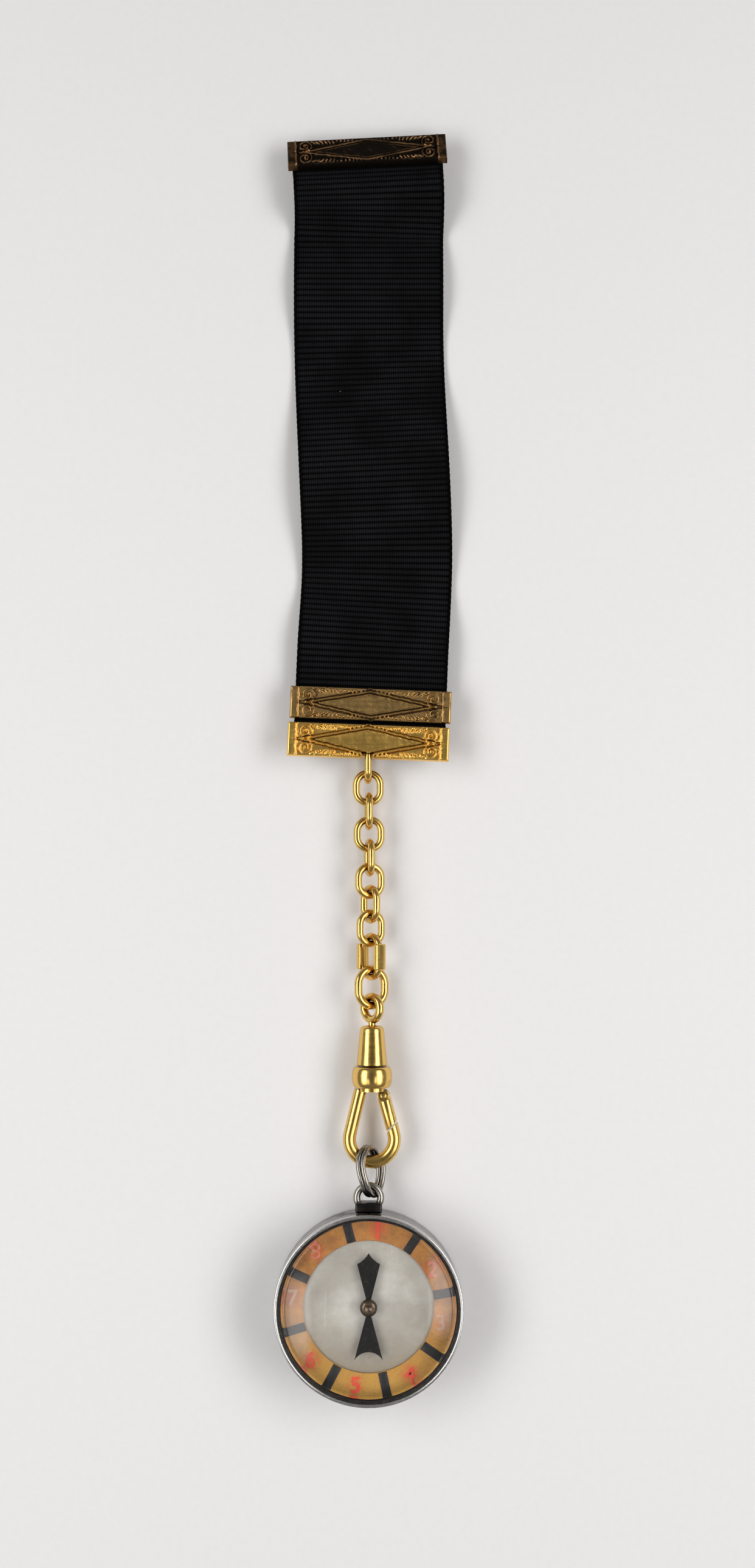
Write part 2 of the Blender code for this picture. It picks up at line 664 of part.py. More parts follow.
def make_hook(clip, parent):
    """Collar, hook, gate, its rivet and its spring; the gate is the right leg's upper part."""
    swivel = joint("joint_clip_swivel", parent, clip @ Vector((0, COLLAR_LENGTH, 0)), (0, 1, 0))
    turn = clip @ Y_TO_AXIS
    seat = COLLAR_RADIUS - COLLAR_WALL
    cavity = HEAD_RADIUS + TOUCH_GAP
    neck = SHANK_RADIUS + SWIVEL_CLEARANCE
    side = COLLAR_RADIUS - COLLAR_BULGE
    outer = [(side + COLLAR_BULGE * math.cos(a), COLLAR_LENGTH / 2 + COLLAR_LENGTH / 2 * math.sin(a))
             for a in (math.radians(d) for d in range(90, -91, -20))]
    inner = [(seat, 0), (seat, BLOCK_HEIGHT + BLOCK_GAP), (cavity, BLOCK_HEIGHT + BLOCK_GAP),
             (cavity, COLLAR_LENGTH - COLLAR_FLOOR), (neck, COLLAR_LENGTH - COLLAR_FLOOR),
             (neck, COLLAR_LENGTH)]
    collar = turned("hook_collar", outer + inner, "gilt", turn, 28)

    centre, angle = leg_tangent()
    bow = arc(centre, HOOK_BOW_RADIUS, 180 - angle, 360 + angle, 20)
    leg_slope = (bow[0][0] + LEG_SPREAD) / bow[0][1]
    top_left = (-LEG_SPREAD + leg_slope * -LEG_TOP_DROP, -LEG_TOP_DROP)
    joint_x = LEG_SPREAD + (bow[-1][0] - LEG_SPREAD) * GATE_JOINT_DROP / -bow[-1][1]
    joint_spot = Vector((joint_x, -GATE_JOINT_DROP, 0))
    leg_way = (Vector((LEG_SPREAD, 0, 0)) - Vector((*bow[-1], 0))).normalized()
    stub_end = joint_spot + leg_way * HOOK_WIRE_RADIUS * 2
    path = [(*top_left, 0)] + [(x, y, 0) for x, y in bow] + [tuple(stub_end)]
    hook = add_part("hook_body", wire_curve("hook", path, HOOK_WIRE_RADIUS, False, 3), "gilt", clip)
    bpy.context.view_layer.update()
    hook = as_mesh(hook)
    slant = Matrix.Translation(joint_spot) @ Matrix.Rotation(math.radians(46), 4, "Z")
    reach = 2.3 * HOOK_WIRE_RADIUS
    above = block_mesh("above", (2 * reach, 2 * reach, 2 * reach), (0, reach - GATE_GAP / 2, 0))
    combine(hook, tool("hook_joint_cut", above, clip @ slant), "DIFFERENCE")
    block_foot = -LEG_TOP_DROP - BLOCK_SINK
    block = rod_mesh("block", seat - FINE_GAP, BLOCK_HEIGHT - block_foot, "Y",
                     (0, (BLOCK_HEIGHT + block_foot) / 2, 0), 24)
    combine(hook, tool("hook_block", block, clip), "UNION")
    lug = rod_mesh("lug", LUG_RADIUS, 2 * HOOK_WIRE_RADIUS, "Z", (*GATE_PIVOT, 0), 24)
    combine(hook, tool("hook_lugs", lug, clip), "UNION")
    slot_depth = 3 * LUG_RADIUS
    slot_centre = (GATE_PIVOT[0], -LUG_TOP_WALL - slot_depth / 2, 0)
    slot = block_mesh("slot", (4 * LUG_RADIUS, slot_depth, 2 * LUG_GAP), slot_centre)
    combine(hook, tool("hook_lug_slot", slot, clip), "DIFFERENCE")
    hole = rod_mesh("hole", RIVET_RADIUS + RUNNING_GAP, RIVET_HOLE_LENGTH, "Z", (*GATE_PIVOT, 0), 16)
    combine(hook, tool("hook_rivet_hole", hole, clip), "DIFFERENCE")

    gate_hinge = joint("joint_gate", swivel, clip @ Vector((*GATE_PIVOT, 0)), (0, 0, -1))
    pivot = Vector((*GATE_PIVOT, 0))
    way = (joint_spot - pivot).normalized()
    rod_start = pivot + way * (LUG_RADIUS + FINE_GAP)
    rod_end = joint_spot + way * HOOK_WIRE_RADIUS * 2
    rod = wire_curve("gate", [tuple(rod_start), tuple(rod_end)], HOOK_WIRE_RADIUS, False, 3)
    gate = add_part("gate", rod, "gilt", clip)
    bpy.context.view_layer.update()
    gate = as_mesh(gate)
    below = block_mesh("below", (2 * reach, 2 * reach, 2 * reach), (0, -reach + GATE_GAP / 2, 0))
    combine(gate, tool("gate_joint_cut", below, clip @ slant), "DIFFERENCE")
    tongue_end = pivot + way * (LUG_RADIUS + TONGUE_LAP)
    tongue_half = LUG_GAP - RUNNING_GAP
    tongue = flat_curve("tongue", [capsule(tuple(tongue_end), GATE_PIVOT, TONGUE_RADIUS)], 2 * tongue_half)
    combine(gate, tool("gate_tongue", tongue, clip), "UNION")
    hole = rod_mesh("hole", RIVET_RADIUS + RUNNING_GAP, RIVET_HOLE_LENGTH, "Z", (*GATE_PIVOT, 0), 16)
    combine(gate, tool("gate_rivet_hole", hole, clip), "DIFFERENCE")

    head = RIVET_RADIUS + RIVET_HEAD_LIP
    inside = HOOK_WIRE_RADIUS + RUNNING_GAP
    outside = inside + RIVET_HEAD_THICKNESS
    profile = [(0, outside), (head, outside), (head, inside), (RIVET_RADIUS, inside), (RIVET_RADIUS, -inside),
               (head, -inside), (head, -outside), (0, -outside)]
    rivet = turned("gate_rivet", profile, "gilt", clip @ Matrix.Translation((*GATE_PIVOT, 0)), 16)
    hug = TONGUE_RADIUS + RUNNING_GAP + SPRING_THICKNESS / 2
    leaf = (arc(GATE_PIVOT, hug + SPRING_THICKNESS / 2, 5, 85, 8)
            + arc(GATE_PIVOT, hug - SPRING_THICKNESS / 2, 85, 5, 8))
    spring = add_part("gate_spring", flat_curve("spring", [leaf], 2 * tongue_half), "steel", clip)
    attach(swivel, collar, hook, rivet, spring)
    attach(gate_hinge, gate)
    return swivel


# ---------- split ring and case

def ring_path():
    """Two turns of an oval, the second beside the first."""
    bend = RING_WIDTH / 2 - RING_WIRE_RADIUS
    rise = RING_LENGTH / 2 - RING_WIRE_RADIUS
    steps = 52
    path = []
    for i in range(steps + 1):
        turns = 2 * i / steps * 0.985 + 0.015
        side = RING_TURN_PITCH * (smooth_step((turns - 0.85) / 0.3) - 0.5)
        angle = 2 * math.pi * turns
        path.append((bend * math.cos(angle), rise * math.sin(angle), side))
    return path


def ring_crossing(height):
    """Sideways shift and rise of the ring's end wire where it passes a given height."""
    along = (RING_HEIGHT - height) / math.sin(math.radians(RING_ROLL))
    bend = RING_WIDTH / 2 - RING_WIRE_RADIUS
    rise = (RING_LENGTH / 2 - RING_WIRE_RADIUS) * (1 - math.sqrt(1 - (along / bend) ** 2))
    return along * math.cos(math.radians(RING_ROLL)), rise


def make_split_ring(parent, hook_point):
    shift, drop = ring_crossing(hook_point.z)
    top_y = hook_point.y + HOOK_WIRE_RADIUS + RING_WIRE_RADIUS + RING_HOOK_GAP + drop
    middle = Vector((hook_point.x - shift, top_y - (RING_LENGTH / 2 - RING_WIRE_RADIUS), RING_HEIGHT))
    hinge = joint("joint_ring", parent, hook_point, (1, 0, 0))
    ring = add_part("split_ring", wire_curve("ring", ring_path(), RING_WIRE_RADIUS, False), "dark_steel",
                    rolled(middle, RING_ROLL))
    attach(hinge, ring)
    shift, rise = ring_crossing(CASE_DEPTH / 2)
    foot_y = middle.y - (RING_LENGTH / 2 - RING_WIRE_RADIUS) + rise
    return hinge, Vector((middle.x + shift, foot_y, CASE_DEPTH / 2))


def make_case(parent, ring_foot):
    bow_wire = ring_foot + Vector((0, RING_WIRE_RADIUS + BOW_WIRE_RADIUS + RING_BOW_GAP, 0))
    bow_middle = bow_wire - Vector((0, BOW_RADIUS - BOW_WIRE_RADIUS, 0))
    neck_top_y = bow_middle.y - BOW_SINK
    middle = Vector((bow_middle.x, neck_top_y - NECK_HEIGHT - FINE_GAP - CASE_RADIUS, 0))
    hinge = joint("joint_case", parent, ring_foot, cross_axis(RING_ROLL))
    case = Matrix.Translation(middle)
    band_top = CASE_DEPTH - BEZEL_DEPTH - FINE_GAP
    inner = CASE_RADIUS - CASE_WALL
    recess = COVER_THICKNESS + FINE_GAP
    shoulder = inner - SHOULDER_WIDTH
    band = turned("case_band", [
        (CASE_RADIUS, band_top), (CASE_RADIUS, BACK_EDGE), (CASE_RADIUS - BACK_EDGE, 0), (inner, 0),
        (inner, recess), (shoulder, recess), (shoulder, SHOULDER_TOP), (inner, SHOULDER_TOP),
        (inner, band_top)], "steel", case)
    cover_radius = inner - TOUCH_GAP
    cover = turned("back_cover", [
        (0, COVER_THICKNESS), (cover_radius, COVER_THICKNESS), (cover_radius, FOOT_EDGE),
        (cover_radius - FOOT_EDGE, 0), (0, 0)], "steel", case)
    bezel_inner = BEZEL_RADIUS - BEZEL_WIDTH
    crest = (bezel_inner + BEZEL_WIDTH / 2, CASE_DEPTH - BEZEL_WIDTH / 2)
    rim = list(reversed(arc(crest, BEZEL_WIDTH / 2, 0, 180, 8)))
    bezel_foot = band_top + FINE_GAP
    bezel = turned("front_bezel", rim + [(BEZEL_RADIUS, bezel_foot), (bezel_inner, bezel_foot)],
                   "steel", case)
    dial_radius = inner - TOUCH_GAP
    dial_foot = SHOULDER_TOP + FINE_GAP
    dial_top = dial_foot + DIAL_THICKNESS
    post_hole = POST_RADIUS + POST_HOLE_PLAY
    dial = turned("dial_plate", [(dial_radius, dial_top), (dial_radius, dial_foot), (post_hole, dial_foot),
                                 (post_hole, dial_top)], "cream", case)
    ring_foot_z = dial_top + FINE_GAP
    ring_top = ring_foot_z + DIAL_RING_THICKNESS
    dial_ring = turned("dial_ring", [
        (dial_radius, ring_top), (dial_radius, ring_foot_z), (dial_radius - DIAL_RING_WIDTH, ring_foot_z),
        (dial_radius - DIAL_RING_WIDTH, ring_top)], "dial_gilt", case)
    gasket_foot = ring_top + FINE_GAP
    gasket_top = band_top - GASKET_DROP
    gasket = turned("crystal_gasket", [(dial_radius, gasket_top), (dial_radius, gasket_foot),
                                       (dial_radius - GASKET_WIDTH, gasket_foot),
                                       (dial_radius - GASKET_WIDTH, gasket_top)], "black", case)
    glass = turned("crystal", crystal_profile(bezel_inner - FINE_GAP, gasket_top + FINE_GAP), "glass", case)
    bow = make_bow(bow_middle, neck_top_y)
    post_top = ring_top + NEEDLE_CLEARANCE + NEEDLE_THICKNESS + HUB_CAP_HEIGHT - HUB_CAP_WALL
    flange_top = dial_foot - FINE_GAP
    flange_foot = flange_top - POST_RADIUS
    post = turned("pivot_post", [
        (0, post_top), (POST_RADIUS, post_top), (POST_RADIUS, flange_top), (4 * POST_RADIUS, flange_top),
        (4 * POST_RADIUS, flange_foot), (0, flange_foot)], "steel", case, 24)
    attach(hinge, band, cover, bezel, dial, dial_ring, gasket, glass, bow, post)
    make_needle(hinge, case, ring_top)
    return middle


def crystal_profile(radius, foot):
    """A low dome of even thickness, with a short upright edge."""
    edge = CRYSTAL_EDGE
    sphere = (radius * radius + CRYSTAL_RISE * CRYSTAL_RISE) / (2 * CRYSTAL_RISE)
    centre_z = foot + edge + CRYSTAL_RISE - sphere
    spread = math.asin(radius / sphere)
    steps = 5
    outer = [(sphere * math.sin(spread * i / steps), centre_z + sphere * math.cos(spread * i / steps))
             for i in range(steps + 1)]
    inside = radius - CRYSTAL_THICKNESS
    small = sphere - CRYSTAL_THICKNESS
    limit = math.asin(inside / small)
    inner = [(small * math.sin(limit * i / steps), centre_z + small * math.cos(limit * i / steps))
             for i in range(steps, -1, -1)]
    return outer + [(radius, foot), (inside, foot)] + inner


def make_bow(middle, neck_top_y):
    """The loop that stands on the drum, with its neck."""
    height = CASE_DEPTH / 2
    bend = BOW_RADIUS - BOW_WIRE_RADIUS
    dip = math.degrees(math.asin((BOW_SINK + NECK_HEIGHT * 0.35) / bend))
    loop = [(x, y, 0) for x, y in arc((0, 0), bend, -dip, 180 + dip, 20)]
    bow = add_part("case_bow", wire_curve("bow", loop, BOW_WIRE_RADIUS, False), "dark_steel",
                   Matrix.Translation((middle.x, middle.y, height)))
    bpy.context.view_layer.update()
    bow = as_mesh(bow)
    neck = block_mesh("neck", (NECK_WIDTH, NECK_HEIGHT, NECK_THICKNESS),
                      (middle.x, neck_top_y - NECK_HEIGHT / 2, height))
    combine(bow, tool("bow_neck", neck, Matrix.Identity(4)), "UNION")
    return bow


def needle_outline():
    """Half of the arrow, from the point round to the tail, then its mirror image."""
    neck = NEEDLE_NECK
    shoulder = Vector((NEEDLE_HEAD_HALF_WIDTH, NEEDLE_HEAD_REACH - NEEDLE_SHOULDER_DROP))
    tip = Vector((0, NEEDLE_HEAD_REACH))
    hollow = Vector((0.62 * MM, NEEDLE_HEAD_REACH - 1.15 * MM))
    head = [tip * (1 - t) ** 2 + hollow * 2 * t * (1 - t) + shoulder * t ** 2
            for t in (0, 0.25, 0.5, 0.75, 1)]
    disc = HUB_RADIUS - 0.05 * MM
    rise = math.degrees(math.acos(neck / disc))
    round_hub = arc((0, 0), disc, rise, -rise, 8)
    corner = (NEEDLE_TAIL_HALF_WIDTH, -NEEDLE_TAIL_REACH)
    notch = NEEDLE_TAIL_NOTCH
    tail_radius = (corner[0] ** 2 + notch ** 2) / (2 * notch)
    half_angle = math.degrees(math.asin(corner[0] / tail_radius))
    tail = arc((0, -NEEDLE_TAIL_REACH + notch - tail_radius), tail_radius, 90 - half_angle, 90, 5)
    right = [tuple(p) for p in head] + round_hub + tail
    left = [(-x, y) for x, y in reversed(right[1:-1])]
    return right + left


def make_needle(parent, case, ring_top):
    foot = ring_top + NEEDLE_CLEARANCE
    top = foot + NEEDLE_THICKNESS
    sleeve = HUB_RADIUS - HUB_SLEEVE_INSET
    hinge = joint("joint_needle", parent, case @ Vector((0, 0, foot)), (0, 0, 1))
    hole = arc((0, 0), sleeve + RUNNING_GAP, 0, 345, 23)
    needle = add_part("needle", flat_curve("needle", [needle_outline(), hole], NEEDLE_THICKNESS), "black",
                      case @ Matrix.Translation((0, 0, foot + NEEDLE_THICKNESS / 2)))
    cap_foot = top + RUNNING_GAP
    cap_top = cap_foot + HUB_CAP_HEIGHT
    bore = POST_RADIUS + RUNNING_GAP
    profile = [(0, cap_top), (HUB_RADIUS * 0.55, cap_top), (HUB_RADIUS * 0.88, cap_top - 0.25 * MM),
               (HUB_RADIUS, cap_top - 0.6 * MM), (HUB_RADIUS, cap_foot), (sleeve, cap_foot), (sleeve, foot),
               (bore, foot), (bore, cap_top - HUB_CAP_WALL), (0, cap_top - HUB_CAP_WALL)]
    hub = turned("needle_hub", profile, "brown_brass", case, 24)
    attach(hinge, needle, hub)


# ---------- the whole fob

def make_fob():
    root = bpy.data.objects.new("fob_frame", None)
    PARTS.objects.link(root)
    ribbon = make_ribbon()
    top_place = (Matrix.Translation((RIBBON_TOP_X, TOP_CLAMP_Y, TOP_CLAMP_Z))
                 @ Matrix.Rotation(TOP_LEAN, 4, "Z") @ Matrix.Rotation(TOP_TILT, 4, "X"))
    plate, pin, jaw, point, axis = clamp("top_clamp", "bronze", top_place, RIBBON_THICKNESS / 2)
    attach(root, ribbon, plate, pin)
    attach(joint("joint_top_jaw", root, point, axis), jaw)

    keeper_place = (Matrix.Translation((lower_line(KEEPER_Y), KEEPER_Y, KEEPER_Z))
                    @ Matrix.Rotation(LOWER_LEAN, 4, "Z"))
    half_stack = KEEPER_LAYER_RISE + RIBBON_THICKNESS / 2
    plate, pin, jaw, point, axis = clamp("keeper", "aged_brass", keeper_place, half_stack)
    slide_axis = keeper_place.to_3x3() @ Vector((0, 1, 0))
    slide = joint("joint_keeper_slide", root, keeper_place.translation, slide_axis)
    attach(slide, plate, pin)
    attach(joint("joint_keeper_jaw", slide, point, axis), jaw)

    fold_place = (Matrix.Translation((-BAR_SIDE_PLAY / 3, FOLD_Y, FOLD_Z))
                  @ Matrix.Rotation(LOWER_LEAN, 4, "Z") @ Matrix.Rotation(END_BAR_TILT, 4, "X"))
    plate, pin, staple, staple_point = make_end_bar(fold_place)
    end_bar = joint("joint_end_bar", root, fold_place.translation, fold_place.to_3x3() @ Vector((1, 0, 0)))
    attach(end_bar, plate, pin, staple)

    last, hang_point, hang_radius, hang_axis = make_chain(staple_point, end_bar)
    eye_middle_y = hang_point.y + hang_radius + EYE_WIRE / 2 + LINK_GAP - (EYE_LENGTH - EYE_WIRE) / 2
    eye_y = COLLAR_LENGTH + FINE_GAP + BARREL_LENGTH + EYE_ABOVE_BARREL + EYE_LENGTH / 2
    clip = Matrix.Translation((hang_point.x + CHAIN_SIDE_DRIFT, eye_middle_y - eye_y, CLIP_AXIS_HEIGHT))
    eye_hinge = make_swivel(clip, eye_y, last, hang_point, hang_axis)
    swivel = make_hook(clip, eye_hinge)
    ring_hinge, ring_foot = make_split_ring(swivel, clip @ Vector((0, -HOOK_REACH, 0)))
    make_case(ring_hinge, ring_foot)
    return root


def centre_on_origin(root):
    """Moves the whole fob so that the middle of its box's underside is at the origin."""
    graph = bpy.context.evaluated_depsgraph_get()
    corners = []
    for obj in PARTS.objects:
        if obj.type != "EMPTY":
            solid = obj.evaluated_get(graph).to_mesh()
            corners += [obj.matrix_world @ vertex.co for vertex in solid.vertices]
    low = [min(corner[i] for corner in corners) for i in range(3)]
    high = [max(corner[i] for corner in corners) for i in range(3)]
    root.location = (-(low[0] + high[0]) / 2, -(low[1] + high[1]) / 2, -low[2])
    bpy.context.view_layer.update()


# places along Y, from the ribbon's fold
FOLD_Y = 0.0
FOLD_Z = 2.45 * MM
END_BAR_TOP_Y = FOLD_Y + END_BAR_HEIGHT / 2 - FOLD_PIN_ABOVE_CENTRE
KEEPER_Y = END_BAR_TOP_Y + BAR_GAP + CLAMP_HEIGHT / 2
KEEPER_Z = KEEPER_LAYER_RISE + RIBBON_THICKNESS / 2 + BARREL_DROP + 2 * HINGE_BARREL_RADIUS + FLOOR_GAP
FLAT_END_Y = KEEPER_Y + CLAMP_HEIGHT / 2 + KEEPER_TRAVEL + 1.0 * MM
TOP_CLAMP_Y = FOLD_Y + RIBBON_RUN
TOP_CLAMP_Z = 2.55 * MM
RIBBON_TOP_X = -0.45 * MM
STAPLE_Z = -0.15 * MM

clear_scene()
PARTS = new_collection("spinner_fob")
CUTTERS = new_collection("cutters")
centre_on_origin(make_fob())
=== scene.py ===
import json
import math

import bmesh
import bpy
import numpy as np
from mathutils import Matrix, Vector

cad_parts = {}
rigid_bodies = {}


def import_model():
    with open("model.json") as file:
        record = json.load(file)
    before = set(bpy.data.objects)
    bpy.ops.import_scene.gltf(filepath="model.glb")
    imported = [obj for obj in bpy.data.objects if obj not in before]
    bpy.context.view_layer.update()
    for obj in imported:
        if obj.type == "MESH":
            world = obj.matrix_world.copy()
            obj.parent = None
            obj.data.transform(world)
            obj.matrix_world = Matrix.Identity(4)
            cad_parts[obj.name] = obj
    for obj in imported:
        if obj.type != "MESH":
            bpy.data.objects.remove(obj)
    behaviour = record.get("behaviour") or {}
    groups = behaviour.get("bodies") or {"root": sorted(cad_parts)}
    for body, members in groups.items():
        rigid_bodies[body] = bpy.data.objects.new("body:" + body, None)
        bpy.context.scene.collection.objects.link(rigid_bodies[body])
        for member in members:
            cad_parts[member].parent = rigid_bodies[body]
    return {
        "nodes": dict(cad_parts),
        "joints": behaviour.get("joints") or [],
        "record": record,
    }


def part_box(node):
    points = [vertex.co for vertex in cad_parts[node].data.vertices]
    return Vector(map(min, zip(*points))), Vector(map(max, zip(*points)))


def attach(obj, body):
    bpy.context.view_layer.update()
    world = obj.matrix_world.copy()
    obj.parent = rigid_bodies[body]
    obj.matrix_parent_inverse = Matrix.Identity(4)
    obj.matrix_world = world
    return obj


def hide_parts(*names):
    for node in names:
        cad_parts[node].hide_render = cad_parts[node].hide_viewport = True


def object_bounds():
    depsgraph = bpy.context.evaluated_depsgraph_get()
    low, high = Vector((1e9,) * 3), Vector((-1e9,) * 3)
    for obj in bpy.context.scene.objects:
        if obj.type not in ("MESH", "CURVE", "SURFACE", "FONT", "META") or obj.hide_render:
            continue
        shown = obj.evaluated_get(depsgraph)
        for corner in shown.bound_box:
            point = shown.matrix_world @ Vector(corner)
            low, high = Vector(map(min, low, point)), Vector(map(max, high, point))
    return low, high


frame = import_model()
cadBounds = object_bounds()
mm = 0.001
joints = {item["name"]: item for item in frame["joints"]}


# small tools that the pieces share

def clearSelection():
    if bpy.context.object and bpy.context.object.mode != "OBJECT":
        bpy.ops.object.mode_set(mode="OBJECT")
    bpy.ops.object.select_all(action="DESELECT")


def addShape(primitive, **values):
    clearSelection()
    primitive(**values)
    return bpy.context.object


def startEdit(obj):
    clearSelection()
    bpy.context.view_layer.objects.active = obj
    obj.select_set(True)
    bpy.ops.object.mode_set(mode="EDIT")
    bpy.ops.mesh.select_mode(type="VERT")


def endEdit():
    bpy.ops.object.mode_set(mode="OBJECT")


def selectWhere(test):
    mesh = bpy.context.object.data
    shape = bmesh.from_edit_mesh(mesh)
    for vertex in shape.verts:
        vertex.select_set(test(vertex.co))
    shape.select_flush_mode()
    bmesh.update_edit_mesh(mesh)


def selectFacesWhere(test):
    bpy.ops.mesh.select_mode(type="FACE")
    mesh = bpy.context.object.data
    shape = bmesh.from_edit_mesh(mesh)
    for face in shape.faces:
        face.select_set(test(face))
    shape.select_flush_mode()
    bmesh.update_edit_mesh(mesh)


def selectAll():
    bpy.ops.mesh.select_all(action="SELECT")


def extrudeBy(step):
    bpy.ops.mesh.extrude_region_move(TRANSFORM_OT_translate={"value": step})


def applyPlace():
    bpy.ops.object.transform_apply(location=True, rotation=True, scale=True)


def tidyShell():
    # run in edit mode: merge doubles and point the faces outwards
    bpy.ops.mesh.select_mode(type="VERT")
    selectAll()
    bpy.ops.mesh.remove_doubles(threshold=0.000002)
    bpy.ops.mesh.normals_make_consistent(inside=False)
    endEdit()


def settle(obj, name, place=None, angle=40):
    # name the piece, put its place into its mesh and shade it
    clearSelection()
    bpy.context.view_layer.objects.active = obj
    obj.select_set(True)
    if place is not None:
        obj.matrix_world = place @ obj.matrix_world
    applyPlace()
    bpy.ops.object.shade_smooth_by_angle(angle=math.radians(angle))
    obj.name = obj.data.name = name
    return obj


def handOver(piece, material, body, node=None):
    # a finished piece takes its metal or paint, its body and the node that it stands for
    if material:
        piece.data.materials.append(material)
    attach(piece, body)
    if node:
        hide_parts(node)


def applyModifier(obj, kind, **values):
    clearSelection()
    bpy.context.view_layer.objects.active = obj
    obj.select_set(True)
    change = obj.modifiers.new(kind.lower(), kind)
    for key, value in values.items():
        setattr(change, key, value)
    bpy.ops.object.modifier_apply(modifier=change.name)


def boundsMiddle(obj):
    return sum((Vector(corner[:]) for corner in obj.bound_box), Vector()) / 8


def drawProfile(points):
    # one vertex, extruded from point to point
    points = [Vector(p) for p in points]
    obj = addShape(bpy.ops.mesh.primitive_plane_add, size=mm, location=points[0])
    startEdit(obj)
    selectAll()
    bpy.ops.mesh.merge(type="CENTER")
    for here, there in zip(points, points[1:]):
        extrudeBy(there - here)
    return obj


def turnPiece(name, profile, place, steps=120, angle=40):
    # profile is (radius, height) pairs about the Z axis, in millimetres
    obj = drawProfile([(radius * mm, 0, height * mm) for radius, height in profile])
    selectAll()
    bpy.ops.mesh.spin(steps=steps, angle=2 * math.pi, center=(0, 0, 0), axis=(0, 0, 1))
    tidyShell()
    return settle(obj, name, place, angle)


def arcPoints(centre, radius, start, end, steps):
    angles = [math.radians(start + (end - start) * i / steps) for i in range(steps + 1)]
    return [(centre[0] + radius * math.cos(a), centre[1] + radius * math.sin(a)) for a in angles]


def smoothStep(low, high, value):
    share = np.clip((value - low) / (high - low), 0, 1)
    return share * share * (3 - 2 * share)


def bump(distance, width):
    # a smooth ridge, one at its middle and nought at its width
    share = np.clip(1 - (distance / width) ** 2, 0, 1)
    return share * share * (3 - 2 * share)


# camera and light

cameraSet = {"place": (1.39 * mm, -20.53 * mm, 330 * mm), "tilt": 2.81, "roll": 0.03,
             "longSide": 2576, "focal": 3291.8}


def addCamera():
    data = bpy.data.cameras.new("fobCamera")
    data.sensor_fit = "AUTO"
    data.sensor_width = 36.0
    data.lens = data.sensor_width * cameraSet["focal"] / cameraSet["longSide"]
    data.clip_start = 0.01
    data.clip_end = 10.0
    camera = bpy.data.objects.new("fobCamera", data)
    bpy.context.scene.collection.objects.link(camera)
    camera.location = cameraSet["place"]
    camera.rotation_euler = (math.radians(cameraSet["tilt"]), 0, math.radians(cameraSet["roll"]))
    bpy.context.scene.camera = camera


softbox = {"size": (0.32, 0.72)}
strip = {"size": (0.06, 0.20), "watts": 0.10, "colour": (1.0, 0.97, 0.95)}
lightSet = {
    "leftSoftbox": {"place": (-0.36, -0.02, 0.36), "watts": 3.0, "colour": (1.0, 0.995, 0.985), **softbox},
    "rightSoftbox": {"place": (0.36, -0.02, 0.36), "watts": 3.05, "colour": (1.0, 0.985, 0.975), **softbox},
    "leftStrip": {"place": (-0.140, -0.185, 0.36), **strip},
    "rightStrip": {"place": (0.140, -0.130, 0.36), **strip},
}
skySet = {"zenith": (0.16, 0.16, 0.16), "side": (0.29, 0.29, 0.295), "from": 0.985, "to": 0.80,
          "strength": 0.70}


def softEdge(data):
    # the box fades towards its edges, so that its reflections do
    data.use_nodes = True
    tree = data.node_tree
    spot = addNode(tree, "ShaderNodeNewGeometry").outputs["Parametric"]
    parts = addNode(tree, "ShaderNodeSeparateXYZ", links={"Vector": spot}).outputs
    fades = []
    for axis in ("X", "Y"):
        off = mathNode(tree, "ABSOLUTE", mathNode(tree, "SUBTRACT", parts[axis], 0.5))
        fades.append(remap(tree, off, 0.5, 0.22))
    tree.links.new(mathNode(tree, "MULTIPLY", *fades), tree.nodes["Emission"].inputs["Strength"])


def addLights():
    for name, values in lightSet.items():
        data = bpy.data.lights.new(name, "AREA")
        data.shape = "RECTANGLE"
        data.size, data.size_y = values["size"]
        data.energy = values["watts"]
        data.color = values["colour"]
        softEdge(data)
        light = bpy.data.objects.new(name, data)
        bpy.context.scene.collection.objects.link(light)
        light.location = values["place"]
        aim = Vector((0, light.location.y, 0)) - light.location
        light.rotation_euler = aim.to_track_quat("-Z", "X").to_euler()
    world = bpy.data.worlds.new("studio")
    bpy.context.scene.world = world
    world.use_nodes = True
    tree = world.node_tree
    sky = tree.nodes["Background"]
    values = skySet
    direction = addNode(tree, "ShaderNodeTexCoord").outputs["Generated"]
    height = addNode(tree, "ShaderNodeSeparateXYZ", links={"Vector": direction}).outputs["Z"]
    share = remap(tree, height, values["to"], values["from"])    # darker straight above
    tree.links.new(mixColour(tree, share, values["side"], values["zenith"]), sky.inputs["Color"])
    sky.inputs["Strength"].default_value = values["strength"]


# material building

def addNode(tree, kind, values=None, links=None, **settings):
    node = tree.nodes.new(kind)
    for key, value in settings.items():
        setattr(node, key, value)
    for key, value in (values or {}).items():
        node.inputs[key].default_value = value
    for key, source in (links or {}).items():
        tree.links.new(source, node.inputs[key])
    return node


def mathNode(tree, operation, a, b=None, clamp=False):
    node = addNode(tree, "ShaderNodeMath", operation=operation, use_clamp=clamp)
    for slot, value in enumerate((a, b)):
        if isinstance(value, (int, float)):
            node.inputs[slot].default_value = value
        elif value is not None:
            tree.links.new(value, node.inputs[slot])
    return node.outputs[0]


def mixColour(tree, share, a, b):
    node = addNode(tree, "ShaderNodeMix", data_type="RGBA")
    for slot, value in (("Factor", share), ("A", a), ("B", b)):
        socket = next(s for s in node.inputs if s.name == slot and (slot == "Factor" or s.type == "RGBA"))
        if isinstance(value, tuple):
            socket.default_value = (*value, 1)
        else:
            tree.links.new(value, socket)
    return next(s for s in node.outputs if s.type == "RGBA")


